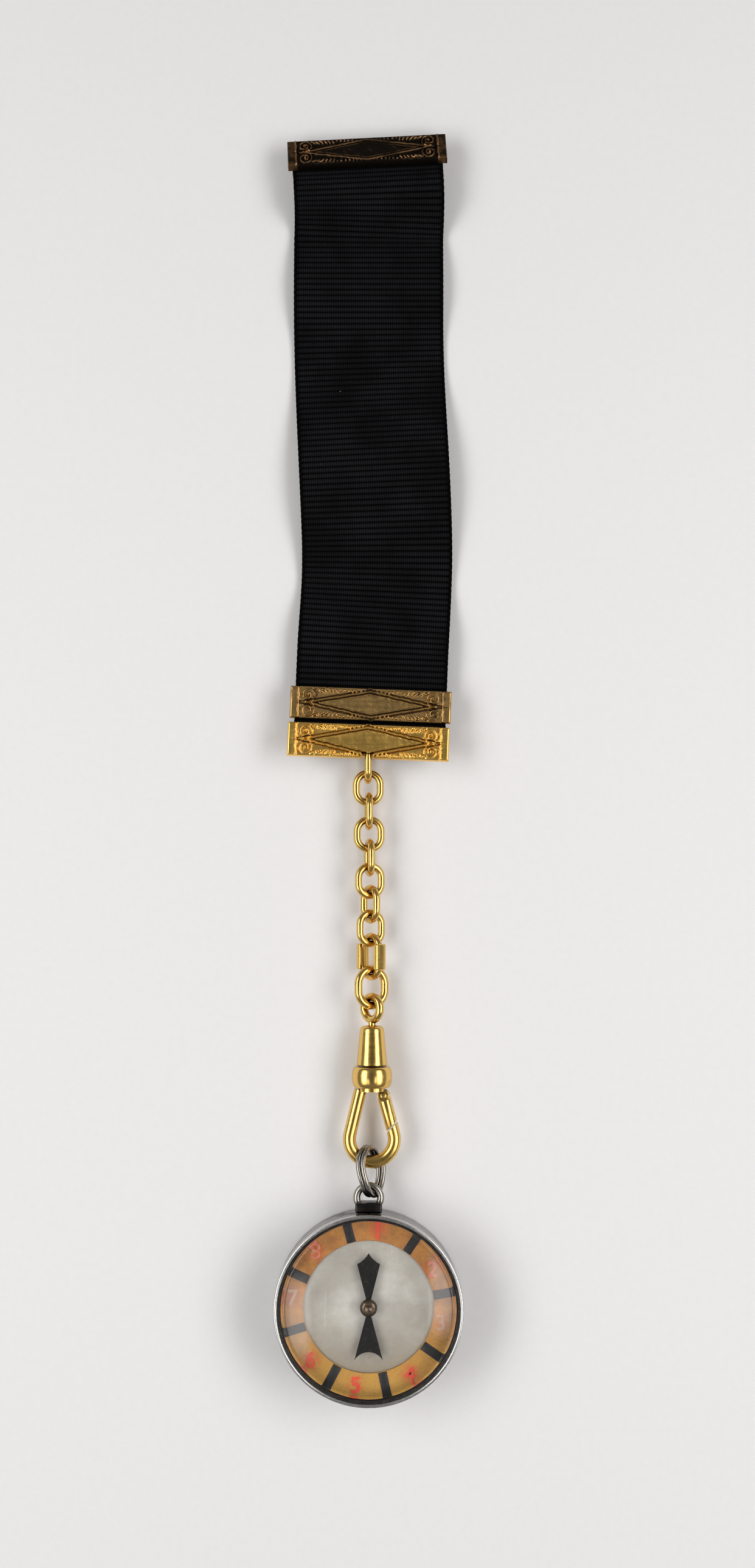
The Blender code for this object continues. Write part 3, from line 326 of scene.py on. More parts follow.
def remap(tree, value, low, high, toLow=0.0, toHigh=1.0):
    node = addNode(tree, "ShaderNodeMapRange",
                   values={"From Min": low, "From Max": high, "To Min": toLow, "To Max": toHigh},
                   links={"Value": value}, clamp=True)
    return node.outputs["Result"]


def noiseAt(tree, vector, scale, detail=3.0, rough=0.55, stretch=None):
    if stretch:
        mapping = addNode(tree, "ShaderNodeMapping", values={"Scale": stretch}, links={"Vector": vector})
        vector = mapping.outputs[0]
    return addNode(tree, "ShaderNodeTexNoise", values={"Scale": scale, "Detail": detail, "Roughness": rough},
                   links={"Vector": vector}).outputs["Fac"]


def newGroup(name, inputs, outputs):
    group = bpy.data.node_groups.new(name, "ShaderNodeTree")
    for label, value in inputs.items():
        kind = "NodeSocketColor" if isinstance(value, tuple) else "NodeSocketFloat"
        if label == "Vector":
            kind = "NodeSocketVector"
        socket = group.interface.new_socket(name=label, in_out="INPUT", socket_type=kind)
        if label != "Vector":
            socket.default_value = (*value, 1) if isinstance(value, tuple) else value
    for label, kind in outputs.items():
        group.interface.new_socket(name=label, in_out="OUTPUT", socket_type="NodeSocket" + kind)
    return group, group.nodes.new("NodeGroupInput").outputs, group.nodes.new("NodeGroupOutput").inputs


def makeTarnishGroup():
    # patches where the metal has dulled, fine rubbing scratches and small pits
    group, given, out = newGroup(
        "tarnish", {"Vector": None, "Patches": 0.5, "Patch Size": 420.0, "Scratch Depth": 0.5},
        {"Mask": "Float", "Height": "Float", "Rub": "Float"})
    wide = addNode(group, "ShaderNodeTexNoise", values={"Detail": 4.0, "Roughness": 0.6},
                   links={"Vector": given["Vector"], "Scale": given["Patch Size"]}).outputs["Fac"]
    low = mathNode(group, "SUBTRACT", 0.86, mathNode(group, "MULTIPLY", given["Patches"], 0.55))
    mask = mathNode(group, "MULTIPLY", mathNode(group, "SUBTRACT", wide, low), 6.0, clamp=True)
    scratchA = noiseAt(group, given["Vector"], 2600, 2.0, 0.5, (1.0, 0.07, 1.0))
    scratchB = noiseAt(group, given["Vector"], 2300, 2.0, 0.5, (0.08, 1.0, 0.6))
    lines = mathNode(group, "MULTIPLY", scratchA, scratchB)
    pits = noiseAt(group, given["Vector"], 5200, 1.0, 0.5)
    pitted = mathNode(group, "MULTIPLY", remap(group, pits, 0.60, 0.72), -0.6)
    height = mathNode(group, "MULTIPLY", mathNode(group, "ADD", lines, pitted), given["Scratch Depth"])
    group.links.new(mask, out["Mask"])
    group.links.new(height, out["Height"])
    group.links.new(remap(group, lines, 0.15, 0.40), out["Rub"])
    return group


def makeDustGroup():
    # scattered pale specks
    group, given, out = newGroup("dust", {"Vector": None, "Scale": 900.0, "Amount": 0.3}, {"Mask": "Float"})
    cells = addNode(group, "ShaderNodeTexVoronoi", feature="F1",
                    links={"Vector": given["Vector"], "Scale": given["Scale"]})
    keep = addNode(group, "ShaderNodeSeparateColor", links={"Color": cells.outputs["Color"]}).outputs[0]
    near = remap(group, cells.outputs["Distance"], 0.10, 0.04)
    chosen = mathNode(group, "GREATER_THAN", given["Amount"], keep)
    group.links.new(mathNode(group, "MULTIPLY", near, chosen), out["Mask"])
    return group


def groupNode(tree, name, where, values):
    node = addNode(tree, "ShaderNodeGroup", node_tree=groups[name])
    for key, value in values.items():
        node.inputs[key].default_value = value
    tree.links.new(where, node.inputs["Vector"])
    return node


def plug(tree, shader, colour, rough, bumps=None):
    # bumps is a height, its strength and its distance
    tree.links.new(colour, shader.inputs["Base Color"])
    tree.links.new(rough, shader.inputs["Roughness"])
    if bumps:
        height, strength, distance = bumps
        raised = addNode(tree, "ShaderNodeBump", values={"Strength": strength, "Distance": distance},
                         links={"Height": height})
        tree.links.new(raised.outputs["Normal"], shader.inputs["Normal"])


def startMaterial(name):
    material = bpy.data.materials.new(name)
    material.use_nodes = True
    tree = material.node_tree
    where = addNode(tree, "ShaderNodeTexCoord").outputs["Object"]
    return material, tree, tree.nodes["Principled BSDF"], where


metalKeys = ("bright", "dull", "patches", "patchSize", "smooth", "rough", "scratch", "bump")
metalSet = {
    "brightGilt": ((0.82, 0.53, 0.15), (0.36, 0.18, 0.045), 0.42, 330.0, 0.16, 0.40, 0.4, 0.07),
    "barGilt": ((0.97, 0.60, 0.15), (0.30, 0.135, 0.030), 0.22, 260.0, 0.27, 0.46, 0.4, 0.08),
    "agedBrass": ((0.55, 0.345, 0.125), (0.090, 0.053, 0.028), 0.66, 300.0, 0.29, 0.58, 0.6, 0.10),
    "darkBronze": ((0.44, 0.235, 0.10), (0.018, 0.013, 0.009), 0.88, 230.0, 0.25, 0.50, 0.5, 0.08),
    "greySteel": ((0.62, 0.61, 0.59), (0.24, 0.23, 0.21), 0.30, 260.0, 0.24, 0.42, 0.1, 0.015),
    "bandSteel": ((0.34, 0.33, 0.32), (0.09, 0.085, 0.08), 0.50, 190.0, 0.28, 0.50, 0.4, 0.06),
    "darkSteel": ((0.36, 0.33, 0.295), (0.11, 0.09, 0.075), 0.42, 260.0, 0.20, 0.42, 0.2, 0.03),
    "blackSteel": ((0.035, 0.032, 0.030), (0.012, 0.011, 0.010), 0.5, 700.0, 0.28, 0.50, 0.5, 0.10),
    "brownBrass": ((0.15, 0.11, 0.075), (0.035, 0.024, 0.016), 0.6, 1200.0, 0.30, 0.55, 0.5, 0.10),
}
# relief heights where grime starts to fill a hollow and where it has filled it
hollowSet = {"barGilt": (0.40, 0.18), "agedBrass": (0.52, 0.20), "darkBronze": (0.80, 0.55)}


def metalFinish(name, relief=False):
    values = dict(zip(metalKeys, metalSet[name]))
    material, tree, shader, where = startMaterial(name)
    worn = groupNode(tree, "tarnish", where, {"Patches": values["patches"], "Patch Size": values["patchSize"],
                                              "Scratch Depth": values["scratch"]})
    mask = worn.outputs["Mask"]
    if relief:
        depth = addNode(tree, "ShaderNodeAttribute", attribute_name="relief").outputs["Fac"]
        hollow = remap(tree, depth, *hollowSet[name])
        crest = remap(tree, depth, 0.95, 0.60, 0.30, 1.0)      # painted highlight and rubbed wear: brighter on the high places
        mask = mathNode(tree, "MAXIMUM", mathNode(tree, "MULTIPLY", mask, crest), hollow)
    colour = mixColour(tree, mask, values["bright"], values["dull"])
    # painted shade: the colour darkens where ambient occlusion finds pieces close together and in crevices
    near = addNode(tree, "ShaderNodeAmbientOcclusion", samples=6, values={"Distance": 1.6 * mm})
    occlusionShade = near.outputs["AO"]
    paintedShadeColour = tuple(channel * 0.16 for channel in values["dull"])    # painted shade colour where pieces meet
    colour = mixColour(tree, remap(tree, occlusionShade, 0.72, 0.22, 0.0, 0.85), colour, paintedShadeColour)
    shade = mathNode(tree, "MULTIPLY", mask, values["rough"] - values["smooth"])
    rough = mathNode(tree, "ADD", shade, values["smooth"])
    rub = mathNode(tree, "MULTIPLY", worn.outputs["Rub"], 0.10)
    shader.inputs["Metallic"].default_value = 1.0
    bumps = worn.outputs["Height"], values["bump"], 0.12 * mm
    plug(tree, shader, colour, mathNode(tree, "ADD", rough, rub), bumps)
    return material


addCamera()
bpy.context.scene.view_settings.view_transform = "Standard"  # plain colours, as the lights give them
addLights()
groups = {"tarnish": makeTarnishGroup(), "dust": makeDustGroup()}
metals = {name: metalFinish(name) for name in metalSet}
print("camera, lights and metals ready")


# floor

def floorMaterial():
    material, tree, shader, where = startMaterial("paleTable")
    speck = noiseAt(tree, where, 900, 3.0)
    colour = mixColour(tree, speck, (0.86, 0.85, 0.845), (0.90, 0.89, 0.885))
    tree.links.new(colour, shader.inputs["Base Color"])
    shader.inputs["Roughness"].default_value = 0.62
    shader.inputs["Specular IOR Level"].default_value = 0.3
    return material


def addFloor():
    floor = addShape(bpy.ops.mesh.primitive_plane_add, size=4.0, location=(0, 0, cadBounds[0].z - 0.05 * mm))
    settle(floor, "paleTable")
    floor.data.materials.append(floorMaterial())


addFloor()


def dressNodes(names, material):
    for name in names:
        node = frame["nodes"][name]
        node.data.materials.clear()
        node.data.materials.append(material)


slotFinish = {"gilt": "brightGilt", "aged_brass": "agedBrass", "bronze": "darkBronze", "steel": "greySteel",
              "dark_steel": "darkSteel", "brown_brass": "brownBrass"}
for part in frame["record"]["subparts"]:
    if part["material_slot"] in slotFinish:
        dressNodes([part["node"]], metals[slotFinish[part["material_slot"]]])


# places taken from the frame

def jointPlace(name):
    return Vector(joints[name]["pos_m"])


def boxMiddle(node):
    low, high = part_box(node)
    return (low + high) / 2


foldPoint = jointPlace("end_bar_hinge")
clipTop = jointPlace("clip_swivel")
drumMiddle = Vector((jointPlace("arrow_spin").x, jointPlace("arrow_spin").y, 0))
lean = {"lower": math.radians(-2.2), "top": math.radians(3.0)}
barSet = {
    "length": 26.3, "clampHeight": 5.2, "endHeight": 5.5, "depth": 1.5, "sheet": 0.30, "edge": 0.34,
    "band": 11.72, "diamond": (11.3, 0.36), "ridge": 0.58, "scroll": (10.25, 0.47, 1.16), "beadPitch": 0.66,
    "barrel": 0.55, "barrelDrop": 0.20, "clothHalf": 0.28, "layerRise": 0.43, "gap": 0.30, "foldRadius": 0.93,
    "pinAboveCentre": 1.5, "topTilt": -22.0, "endTilt": -5.0, "notch": (2.1, 1.0), "earReach": (0.6, 0.8),
    "earTop": 0.75, "earWide": 0.33,
}


def stampedRelief(x, y, half):
    # height of the stamped ornament over the plate, in millimetres
    values = barSet
    wobble = 0.05 * np.sin(2.1 * x + 1.3 * np.sin(3.7 * y)) + 0.03 * np.sin(5.3 * x - 2.9 * y)
    x = x + wobble
    y = y + 0.6 * wobble
    ax = np.abs(x)
    ay = np.abs(y)
    level = -0.16 * smoothStep(values["band"], values["band"] - 0.25, ax)
    level += 0.18 * bump(ax - values["band"], 0.22)
    long, margin = values["diamond"]
    apex = half - margin
    away = (ax / long + ay / apex - 1) / math.hypot(1 / long, 1 / apex)
    level += 0.22 * bump(away + 0.13, 0.21) + 0.16 * bump(away + values["ridge"], 0.16)
    level -= 0.14 * bump(away - 0.17, 0.13) + 0.10 * bump(away + 0.40, 0.10)
    centre = smoothStep(-values["ridge"] - 0.05, -values["ridge"] - 0.25, away)
    dents = 0.020 * np.sin(1.7 * x + 0.8) * np.cos(2.3 * y) + 0.014 * np.sin(4.3 * x + 4 * y)
    level += centre * (0.10 + dents)
    corner = smoothStep(0.0, 0.25, away) * smoothStep(values["band"] - 0.1, values["band"] - 0.35, ax)
    spot, share, reach = values["scroll"]
    dx = ax - spot
    dy = ay - half * share
    radius = np.hypot(dx, dy)
    turn = np.arctan2(dy, dx) / (2 * math.pi)
    coil = np.abs((radius / 0.62 - turn + 0.25) % 1.0 - 0.5)
    inScroll = smoothStep(reach + 0.10, reach - 0.06, radius)
    level += inScroll * 0.27 * bump(coil, 0.30) + 0.26 * bump(radius, 0.30)
    leaves = corner * (1 - inScroll)
    for number in range(6):
        leafX = 8.75 - 0.66 * number
        leafY = half - 0.66 - 0.02 * number
        slant = math.radians(24 + 9 * number)
        along = (ax - leafX) * math.cos(slant) + (ay - leafY) * math.sin(slant)
        side = -(ax - leafX) * math.sin(slant) + (ay - leafY) * math.cos(slant) + 0.25 * along * along
        level += leaves * 0.26 * bump(np.hypot(along / (0.70 - 0.05 * number), side / 0.22), 1.0)
    step = values["beadPitch"]
    beadX = (ax / step) % 1.0 * step - step / 2
    tall = 0.34 * smoothStep(6.6, 1.5, ax) + 0.16
    beads = bump(np.hypot(beadX / 0.24, (ay - (half - 0.20 - tall)) / tall), 1.0) * smoothStep(5.9, 5.3, ax)
    level += 0.26 * beads * smoothStep(-0.02, 0.12, away + 0.02)
    wave = ay - (half - 0.34 - 0.09 * np.sin(2 * math.pi * ax / 1.25))
    level += 0.14 * bump(wave, 0.16) * smoothStep(9.6, 9.2, ax) * smoothStep(5.4, 5.9, ax)
    return level


def makePlate(name, height, under, place, finish):
    values = barSet
    obj = addShape(bpy.ops.mesh.primitive_grid_add, x_subdivisions=400, y_subdivisions=80, size=1)
    obj.scale = (values["length"] * mm, height * mm, 1)
    bpy.ops.object.transform_apply(scale=True)
    spots = np.zeros(len(obj.data.vertices) * 3)
    obj.data.vertices.foreach_get("co", spots)
    spots = spots.reshape(-1, 3) / mm
    half = height / 2
    relief = stampedRelief(spots[:, 0], spots[:, 1], half)
    inset = np.minimum(values["length"] / 2 - np.abs(spots[:, 0]), half - np.abs(spots[:, 1]))
    share = np.clip(1 - inset / values["edge"], 0, 1)
    drop = values["edge"] * (1 - np.sqrt(1 - np.minimum(share, 0.999) ** 2))
    keep = smoothStep(0.02, 0.22, inset)
    spots[:, 2] = under + values["depth"] - 0.19 + relief * keep - drop
    obj.data.vertices.foreach_set("co", (spots * mm).ravel())
    attribute = obj.data.attributes.new("relief", "FLOAT", "POINT")
    attribute.data.foreach_set("value", np.clip(0.62 + relief * 1.5, 0, 1))
    startEdit(obj)
    bpy.ops.mesh.select_mode(type="EDGE")
    bpy.ops.mesh.select_all(action="DESELECT")
    bpy.ops.mesh.select_non_manifold()
    wall = values["depth"] - values["edge"] - 0.10
    extrudeBy((0, 0, -wall * mm))
    if name == "endBarFront":    # room for the staple
        wide, tall = values["notch"]
        selectFacesWhere(lambda face: abs(face.calc_center_median().x) < wide / 2 * mm
                         and face.calc_center_median().y < (tall - half) * mm)
        bpy.ops.mesh.delete(type="FACE")
    endEdit()
    applyModifier(obj, "SOLIDIFY", thickness=values["sheet"] * mm, offset=-1, use_even_offset=False)
    settle(obj, name, place, 50)
    obj.data.materials.append(reliefMetals[finish])
    return obj


def addEars(plate, place, earTop, pinY, pinZ, reach, finish):
    # a small rounded ear at each end takes the cross pin
    ears = []
    for side in (-1, 1):
        ear = addShape(bpy.ops.mesh.primitive_cube_add, size=1)
        ear.scale = (barSet["earWide"] * mm, 2 * reach * mm, (earTop - pinZ + reach) * mm)
        endX = side * (barSet["length"] / 2 - barSet["earWide"] / 2 - 0.01)
        ear.location = (endX * mm, pinY * mm, (earTop + pinZ - reach) / 2 * mm)
        settle(ear, "ear", place)
        applyModifier(ear, "BEVEL", width=0.09 * mm, segments=2)
        ear.data.materials.append(reliefMetals[finish])
        ears.append(ear)
    joinPieces(plate, ears)


def joinPieces(obj, others):
    name = obj.name
    clearSelection()
    for other in others:
        other.select_set(True)
    obj.select_set(True)
    bpy.context.view_layer.objects.active = obj
    bpy.ops.object.join()
    obj.name = obj.data.name = name


def clampPlace(jointName, leanBy, tilt, halfStack):
    turn = Matrix.Rotation(leanBy, 4, "Z") @ Matrix.Rotation(math.radians(tilt), 4, "X")
    pinY = barSet["clampHeight"] / 2 - barSet["barrel"]
    pinZ = -halfStack - barSet["barrelDrop"] - barSet["barrel"]
    place = Matrix.Translation(jointPlace(jointName)) @ turn @ Matrix.Translation((0, -pinY * mm, -pinZ * mm))
    return place, pinY, pinZ


def makeBars():
    values = barSet
    cloth = values["clothHalf"]
    stack = values["layerRise"] + cloth
    clampHigh = values["clampHeight"]
    clampReach, endReach = values["earReach"]
    endPlace = (Matrix.Translation(foldPoint) @ Matrix.Rotation(lean["lower"], 4, "Z")
                @ Matrix.Rotation(math.radians(values["endTilt"]), 4, "X")
                @ Matrix.Translation((0, -values["pinAboveCentre"] * mm, 0)))
    bars = (
        ("topClampFront", "top_clamp_plate", "ribbon", "bronze", "darkBronze", clampHigh, cloth, clampReach,
         clampPlace("top_jaw_hinge", lean["top"], values["topTilt"], cloth)),
        ("keeperFront", "keeper_plate", "keeper", "aged_brass", "agedBrass", clampHigh, stack, clampReach,
         clampPlace("keeper_jaw_hinge", lean["lower"], 0, stack)),
        ("endBarFront", "end_bar_plate", "end_bar", "gilt", "barGilt", values["endHeight"],
         values["foldRadius"] + cloth, endReach, (endPlace, values["pinAboveCentre"], 0)),
    )
    for name, node, body, slot, finish, height, above, reach, (place, pinY, pinZ) in bars:
        under = above + values["gap"]
        plate = makePlate(name, height, under, place, finish)
        addEars(plate, place, under + values["earTop"], pinY, pinZ, reach, finish)
        handOver(plate, None, body, node)
    print("stamped bars made")


# grosgrain ribbon

ribbonSet = {
    "width": 24.8 * mm, "run": 96.2 * mm, "tail": 19.0 * mm, "sway": 1.5 * mm, "rest": 0.42 * mm,
    "lifts": ((75.0 * mm, 11.0 * mm, 1.3 * mm), (43.0 * mm, 20.0 * mm, 2.3 * mm)),
    "foldRadius": 0.93 * mm, "layerRise": 0.43 * mm, "keeperZ": 2.06 * mm, "topX": -0.45 * mm,
    "topZ": 2.55 * mm, "topTilt": math.radians(-22), "keeperY": 4.8 * mm, "clamp": 5.2 * mm,
    "slide": 7.0 * mm, "cloth": 0.40 * mm, "rib": 0.20 * mm, "ribPitch": (0.91 * mm, 0.98 * mm),
    "selvedge": 0.8 * mm, "edgeShift": 0.133 * mm, "settle": (12 * mm, 22 * mm),
    "straight": (26 * mm, 70 * mm), "rise": (13 * mm, 4 * mm), "veer": (14 * mm, 5 * mm), "ripple": 0.10 * mm,
}


def ribbonHeight(y):
    values = ribbonSet
    lying = values["rest"]
    for centre, half, lift in values["lifts"]:
        reach = max(-1.0, min(1.0, (y - centre) / half))
        lying += lift * (1 + math.cos(math.pi * reach)) / 2
    flat = values["keeperZ"] + values["layerRise"]
    spread = foldPoint.z + values["foldRadius"]
    keeperFoot = values["keeperY"] - values["clamp"] / 2
    blend = smoothStep(0, keeperFoot, y)
    low = spread * (1 - blend) + flat * blend
    flatEnd = values["keeperY"] + values["clamp"] / 2 + values["slide"]
    blend = smoothStep(flatEnd, flatEnd + values["settle"][0], y)
    middle = low * (1 - blend) + lying * blend
    top = values["topZ"] + (y - values["run"]) * math.tan(values["topTilt"])
    far, near = values["rise"]
    blend = smoothStep(values["run"] - far, values["run"] - near, y)
    return middle * (1 - blend) + top * blend


def ribbonSide(y):
    values = ribbonSet
    top = values["topX"] - (y - values["run"]) * math.tan(lean["top"])
    bowed = values["topX"] + 0.25 * mm + values["sway"] * (1 - smoothStep(*values["straight"], y))
    flatEnd = values["keeperY"] + values["clamp"] / 2 + values["slide"]
    blend = smoothStep(flatEnd - 2 * mm, flatEnd + values["settle"][1], y)
    middle = -y * math.tan(lean["lower"]) * (1 - blend) + bowed * blend
    far, near = values["veer"]
    blend = smoothStep(values["run"] - far, values["run"] - near, y)
    return middle * (1 - blend) + top * blend


def ribbonPath():
    # (y, z) down the front, round the fold and up the back, close together
    values = ribbonSet
    start = values["run"] + values["clamp"] * 0.28
    front = [(start * (1 - i / 900), ribbonHeight(start * (1 - i / 900))) for i in range(900)]
    fold = arcPoints((0, foldPoint.z), values["foldRadius"], 90, 270, 40)
    flat = values["keeperZ"] - values["layerRise"]
    back = []
    for i in range(1, 161):
        y = values["tail"] * i / 160
        blend = smoothStep(0, values["keeperY"] - values["clamp"] / 2, y)
        back.append((y, (foldPoint.z - values["foldRadius"]) * (1 - blend) + flat * blend))
    return np.array(front + fold + back)


def makeRibbon():
    values = ribbonSet
    path = ribbonPath()
    steps = np.hypot(*np.diff(path, axis=0).T)
    reach = np.concatenate([[0], np.cumsum(steps)])
    length = reach[-1]
    rows = 1300
    columns = 30
    along = np.linspace(0, length, rows)
    y = np.interp(along, reach, path[:, 0])
    z = np.interp(along, reach, path[:, 1])
    tangent = np.stack([np.gradient(y, along), np.gradient(z, along)], 1)
    tangent /= np.linalg.norm(tangent, axis=1)[:, None]
    normal = np.stack([-tangent[:, 1], tangent[:, 0]], 1) * -1   # away from the table on the front
    near = np.maximum(y, 0)
    sides = np.array([ribbonSide(v) for v in near])
    turn = np.array([math.atan2(ribbonSide(v + mm) - ribbonSide(v - mm), 2 * mm) for v in near])
    first, last = values["ribPitch"]
    phase = along / first - along ** 2 / (2 * length) * (1 / first - 1 / last)
    rib = np.abs(np.cos(math.pi * phase)) ** 0.8
    obj = addShape(bpy.ops.mesh.primitive_grid_add,
                   x_subdivisions=columns - 1, y_subdivisions=rows - 1, size=1)
    count = len(obj.data.vertices)
    across = np.zeros(count * 3)
    obj.data.vertices.foreach_get("co", across)
    across = across.reshape(-1, 3)
    columnOf = across[:, 0] * 2
    rowOf = np.rint((0.5 - across[:, 1]) * (rows - 1)).astype(int)
    edge = 1 - np.abs(columnOf)
    plain = smoothStep(0.0, 2 * values["selvedge"] / values["width"], edge)
    height = values["rib"] * (rib[rowOf] - 0.5) * (0.35 + 0.65 * plain)
    ripple = values["ripple"] * np.sin(along[rowOf] / (9 * mm)) * columnOf ** 2
    height = height + ripple * smoothStep(0.0, 20 * mm, y[rowOf])
    half = values["width"] / 2 * columnOf + np.sign(columnOf) * 0.05 * mm * (rib[rowOf] - 0.6) * (1 - plain)
    spots = np.zeros((count, 3))
    offset = foldPoint.x + values["edgeShift"]
    spots[:, 0] = offset + sides[rowOf] + half * np.cos(turn[rowOf])
    spots[:, 1] = foldPoint.y + y[rowOf] - half * np.sin(turn[rowOf]) + normal[rowOf, 0] * height
    spots[:, 2] = z[rowOf] + normal[rowOf, 1] * height
    obj.data.vertices.foreach_set("co", spots.ravel())
    # crest is high on the rib tops; the cloth colour uses it for painted shade in the grooves
    crest = obj.data.attributes.new("crest", "FLOAT", "POINT")
    crest.data.foreach_set("value", rib[rowOf] * (0.25 + 0.75 * plain))
    layer = obj.data.uv_layers[0]
    layer.name = "cloth"
    corners = np.zeros(len(obj.data.loops), int)
    obj.data.loops.foreach_get("vertex_index", corners)
    laid = np.stack([columnOf * values["width"] / 2, along[rowOf]], 1)[corners] / mm
    layer.data.foreach_set("uv", laid.ravel())
    applyModifier(obj, "SOLIDIFY", thickness=values["cloth"], offset=0)
    settle(obj, "grosgrainRibbon", None, 60)
    handOver(obj, clothFinish(), "ribbon", "ribbon")
    print("ribbon made,", round(length / mm, 1), "mm long")


# thread: lighter weave tone, raised as a painted highlight on the ribs; groove: near-black painted shade
# between ribs, also the tone of darker patches
clothSet = {"thread": (0.0165, 0.0165, 0.0195), "dark": (0.0024, 0.0024, 0.0028),
            "groove": (0.0003, 0.0003, 0.0004), "lintAndGlint": (0.12, 0.12, 0.125)}


def clothFinish():
    material, tree, shader, where = startMaterial("blackGrosgrain")
    laid = addNode(tree, "ShaderNodeUVMap", uv_map="cloth").outputs[0]
    crest = addNode(tree, "ShaderNodeAttribute", attribute_name="crest").outputs["Fac"]
    threads = addNode(tree, "ShaderNodeTexWave", bands_direction="X", wave_type="BANDS",
                      values={"Scale": 0.87, "Distortion": 0.8, "Detail": 1.0, "Detail Scale": 2.0},
                      links={"Vector": laid}).outputs["Fac"]
    patches = noiseAt(tree, where, 130, 3.0)
    fuzz = noiseAt(tree, laid, 5.5, 3.0, 0.7)
    top = mixColour(tree, threads, clothSet["dark"], clothSet["thread"])
    top = mixColour(tree, remap(tree, patches, 0.35, 0.65, 0.55, 0.0), top, clothSet["groove"])
    # painted shade in the grooves between ribs, lighter cloth on the rib tops
    colour = mixColour(tree, remap(tree, crest, 0.52, 1.0), clothSet["groove"], top)
    # pale specks: lint, and painted glints on the fibres
    specks = groupNode(tree, "dust", where, {"Scale": 620.0, "Amount": 0.012})
    colour = mixColour(tree, specks.outputs["Mask"], colour, clothSet["lintAndGlint"])
    shader.inputs["Specular IOR Level"].default_value = 0.05
    height = mathNode(tree, "ADD", mathNode(tree, "MULTIPLY", threads, 0.6),
                      mathNode(tree, "MULTIPLY", fuzz, 0.5))
    plug(tree, shader, colour, remap(tree, fuzz, 0.2, 0.8, 0.60, 0.85), (height, 0.6, 0.08 * mm))
    return material


# cable chain

linkSet = {"wires": [1.15] * 9 + [1.30], "widths": [4.9] + [5.1] * 7 + [5.2, 6.2], "bandLink": 9,
           "strap": (0.95, 4.2, 2.0), "round": 28}


def stadiumLoop(length, width, wire, around=72):
    # a ring primitive whose two halves are moved apart
    obj = addShape(bpy.ops.mesh.primitive_torus_add,
                   major_radius=(width - wire) / 2 * mm, minor_radius=wire / 2 * mm, major_segments=around,
                   minor_segments=linkSet["round"])
    rise = (length - width) / 2 * mm
    startEdit(obj)
    selectWhere(lambda spot: spot.y > -0.01 * mm)
    bpy.ops.transform.translate(value=(0, rise, 0))
    selectWhere(lambda spot: spot.y <= -0.01 * mm)
    bpy.ops.transform.translate(value=(0, -rise, 0))
    endEdit()
    return obj


def roundedBlock(size, place, width=0.12):
    block = addShape(bpy.ops.mesh.primitive_cube_add, size=1)
    block.scale = tuple(value * mm for value in size)
    block.location = tuple(value * mm for value in place)
    applyPlace()
    applyModifier(block, "BEVEL", width=width * mm, segments=3)
    return block


def linkRoll(number):
    # a link's end wire is the axis that the next link swings about
    following = f"link_{number + 1:02d}_swing" if number < 10 else "swivel_eye_swing"
    axis = Vector(joints[following]["axis"])
    return math.atan2(-axis.z, axis.x)


def makeChain():
    for number in range(1, 11):
        node = f"chain_link_{number:02d}"
        low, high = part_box(node)
        wire = linkSet["wires"][number - 1]
        loop = stadiumLoop((high.y - low.y) / mm, linkSet["widths"][number - 1], wire)
        if number == linkSet["bandLink"]:
            thick, tall, wide = linkSet["strap"]
            reach = (linkSet["widths"][number - 1] - thick) / 2
            straps = [roundedBlock((thick, tall, wide), (side * reach, 0, 0), 0.22) for side in (-1, 1)]
            joinPieces(loop, straps)
        place = Matrix.Translation(boxMiddle(node)) @ Matrix.Rotation(linkRoll(number), 4, "Y")
        link = settle(loop, f"link{number:02d}", place)
        handOver(link, metals["brightGilt"], f"link_{number:02d}", node)
    print("chain made")


# swivel clip

clipSet = {
    "collarLength": 3.35, "collarRadius": 3.27, "collarWall": 0.92, "barrelGap": 0.15, "barrelLength": 6.45,
    "barrelTop": 1.95, "barrelFoot": 2.50, "eyeLength": 5.0, "eyeWire": 1.35, "eyeAbove": 0.30,
    "eyeRoll": -46.0,
    "shank": 0.60, "wire": 1.05, "bow": 3.65, "reach": 12.0, "spread": 1.75, "legTop": 0.45, "block": 2.2,
    "gatePivot": (1.85, -1.28), "jointDrop": 6.3, "slant": 46.0, "jointGap": 0.11, "lug": 0.98,
    "lugGap": 0.55, "tongue": (1.5, 2.3, 0.86), "headFoot": 1.65, "headRadius": 1.5, "rimRound": 0.55,
    "gateSpare": 2.2,
}
clipPlace = Matrix.Translation(clipTop - Vector((0, clipSet["collarLength"] * mm, 0)))
alongY = Matrix.Rotation(math.radians(-90), 4, "X")


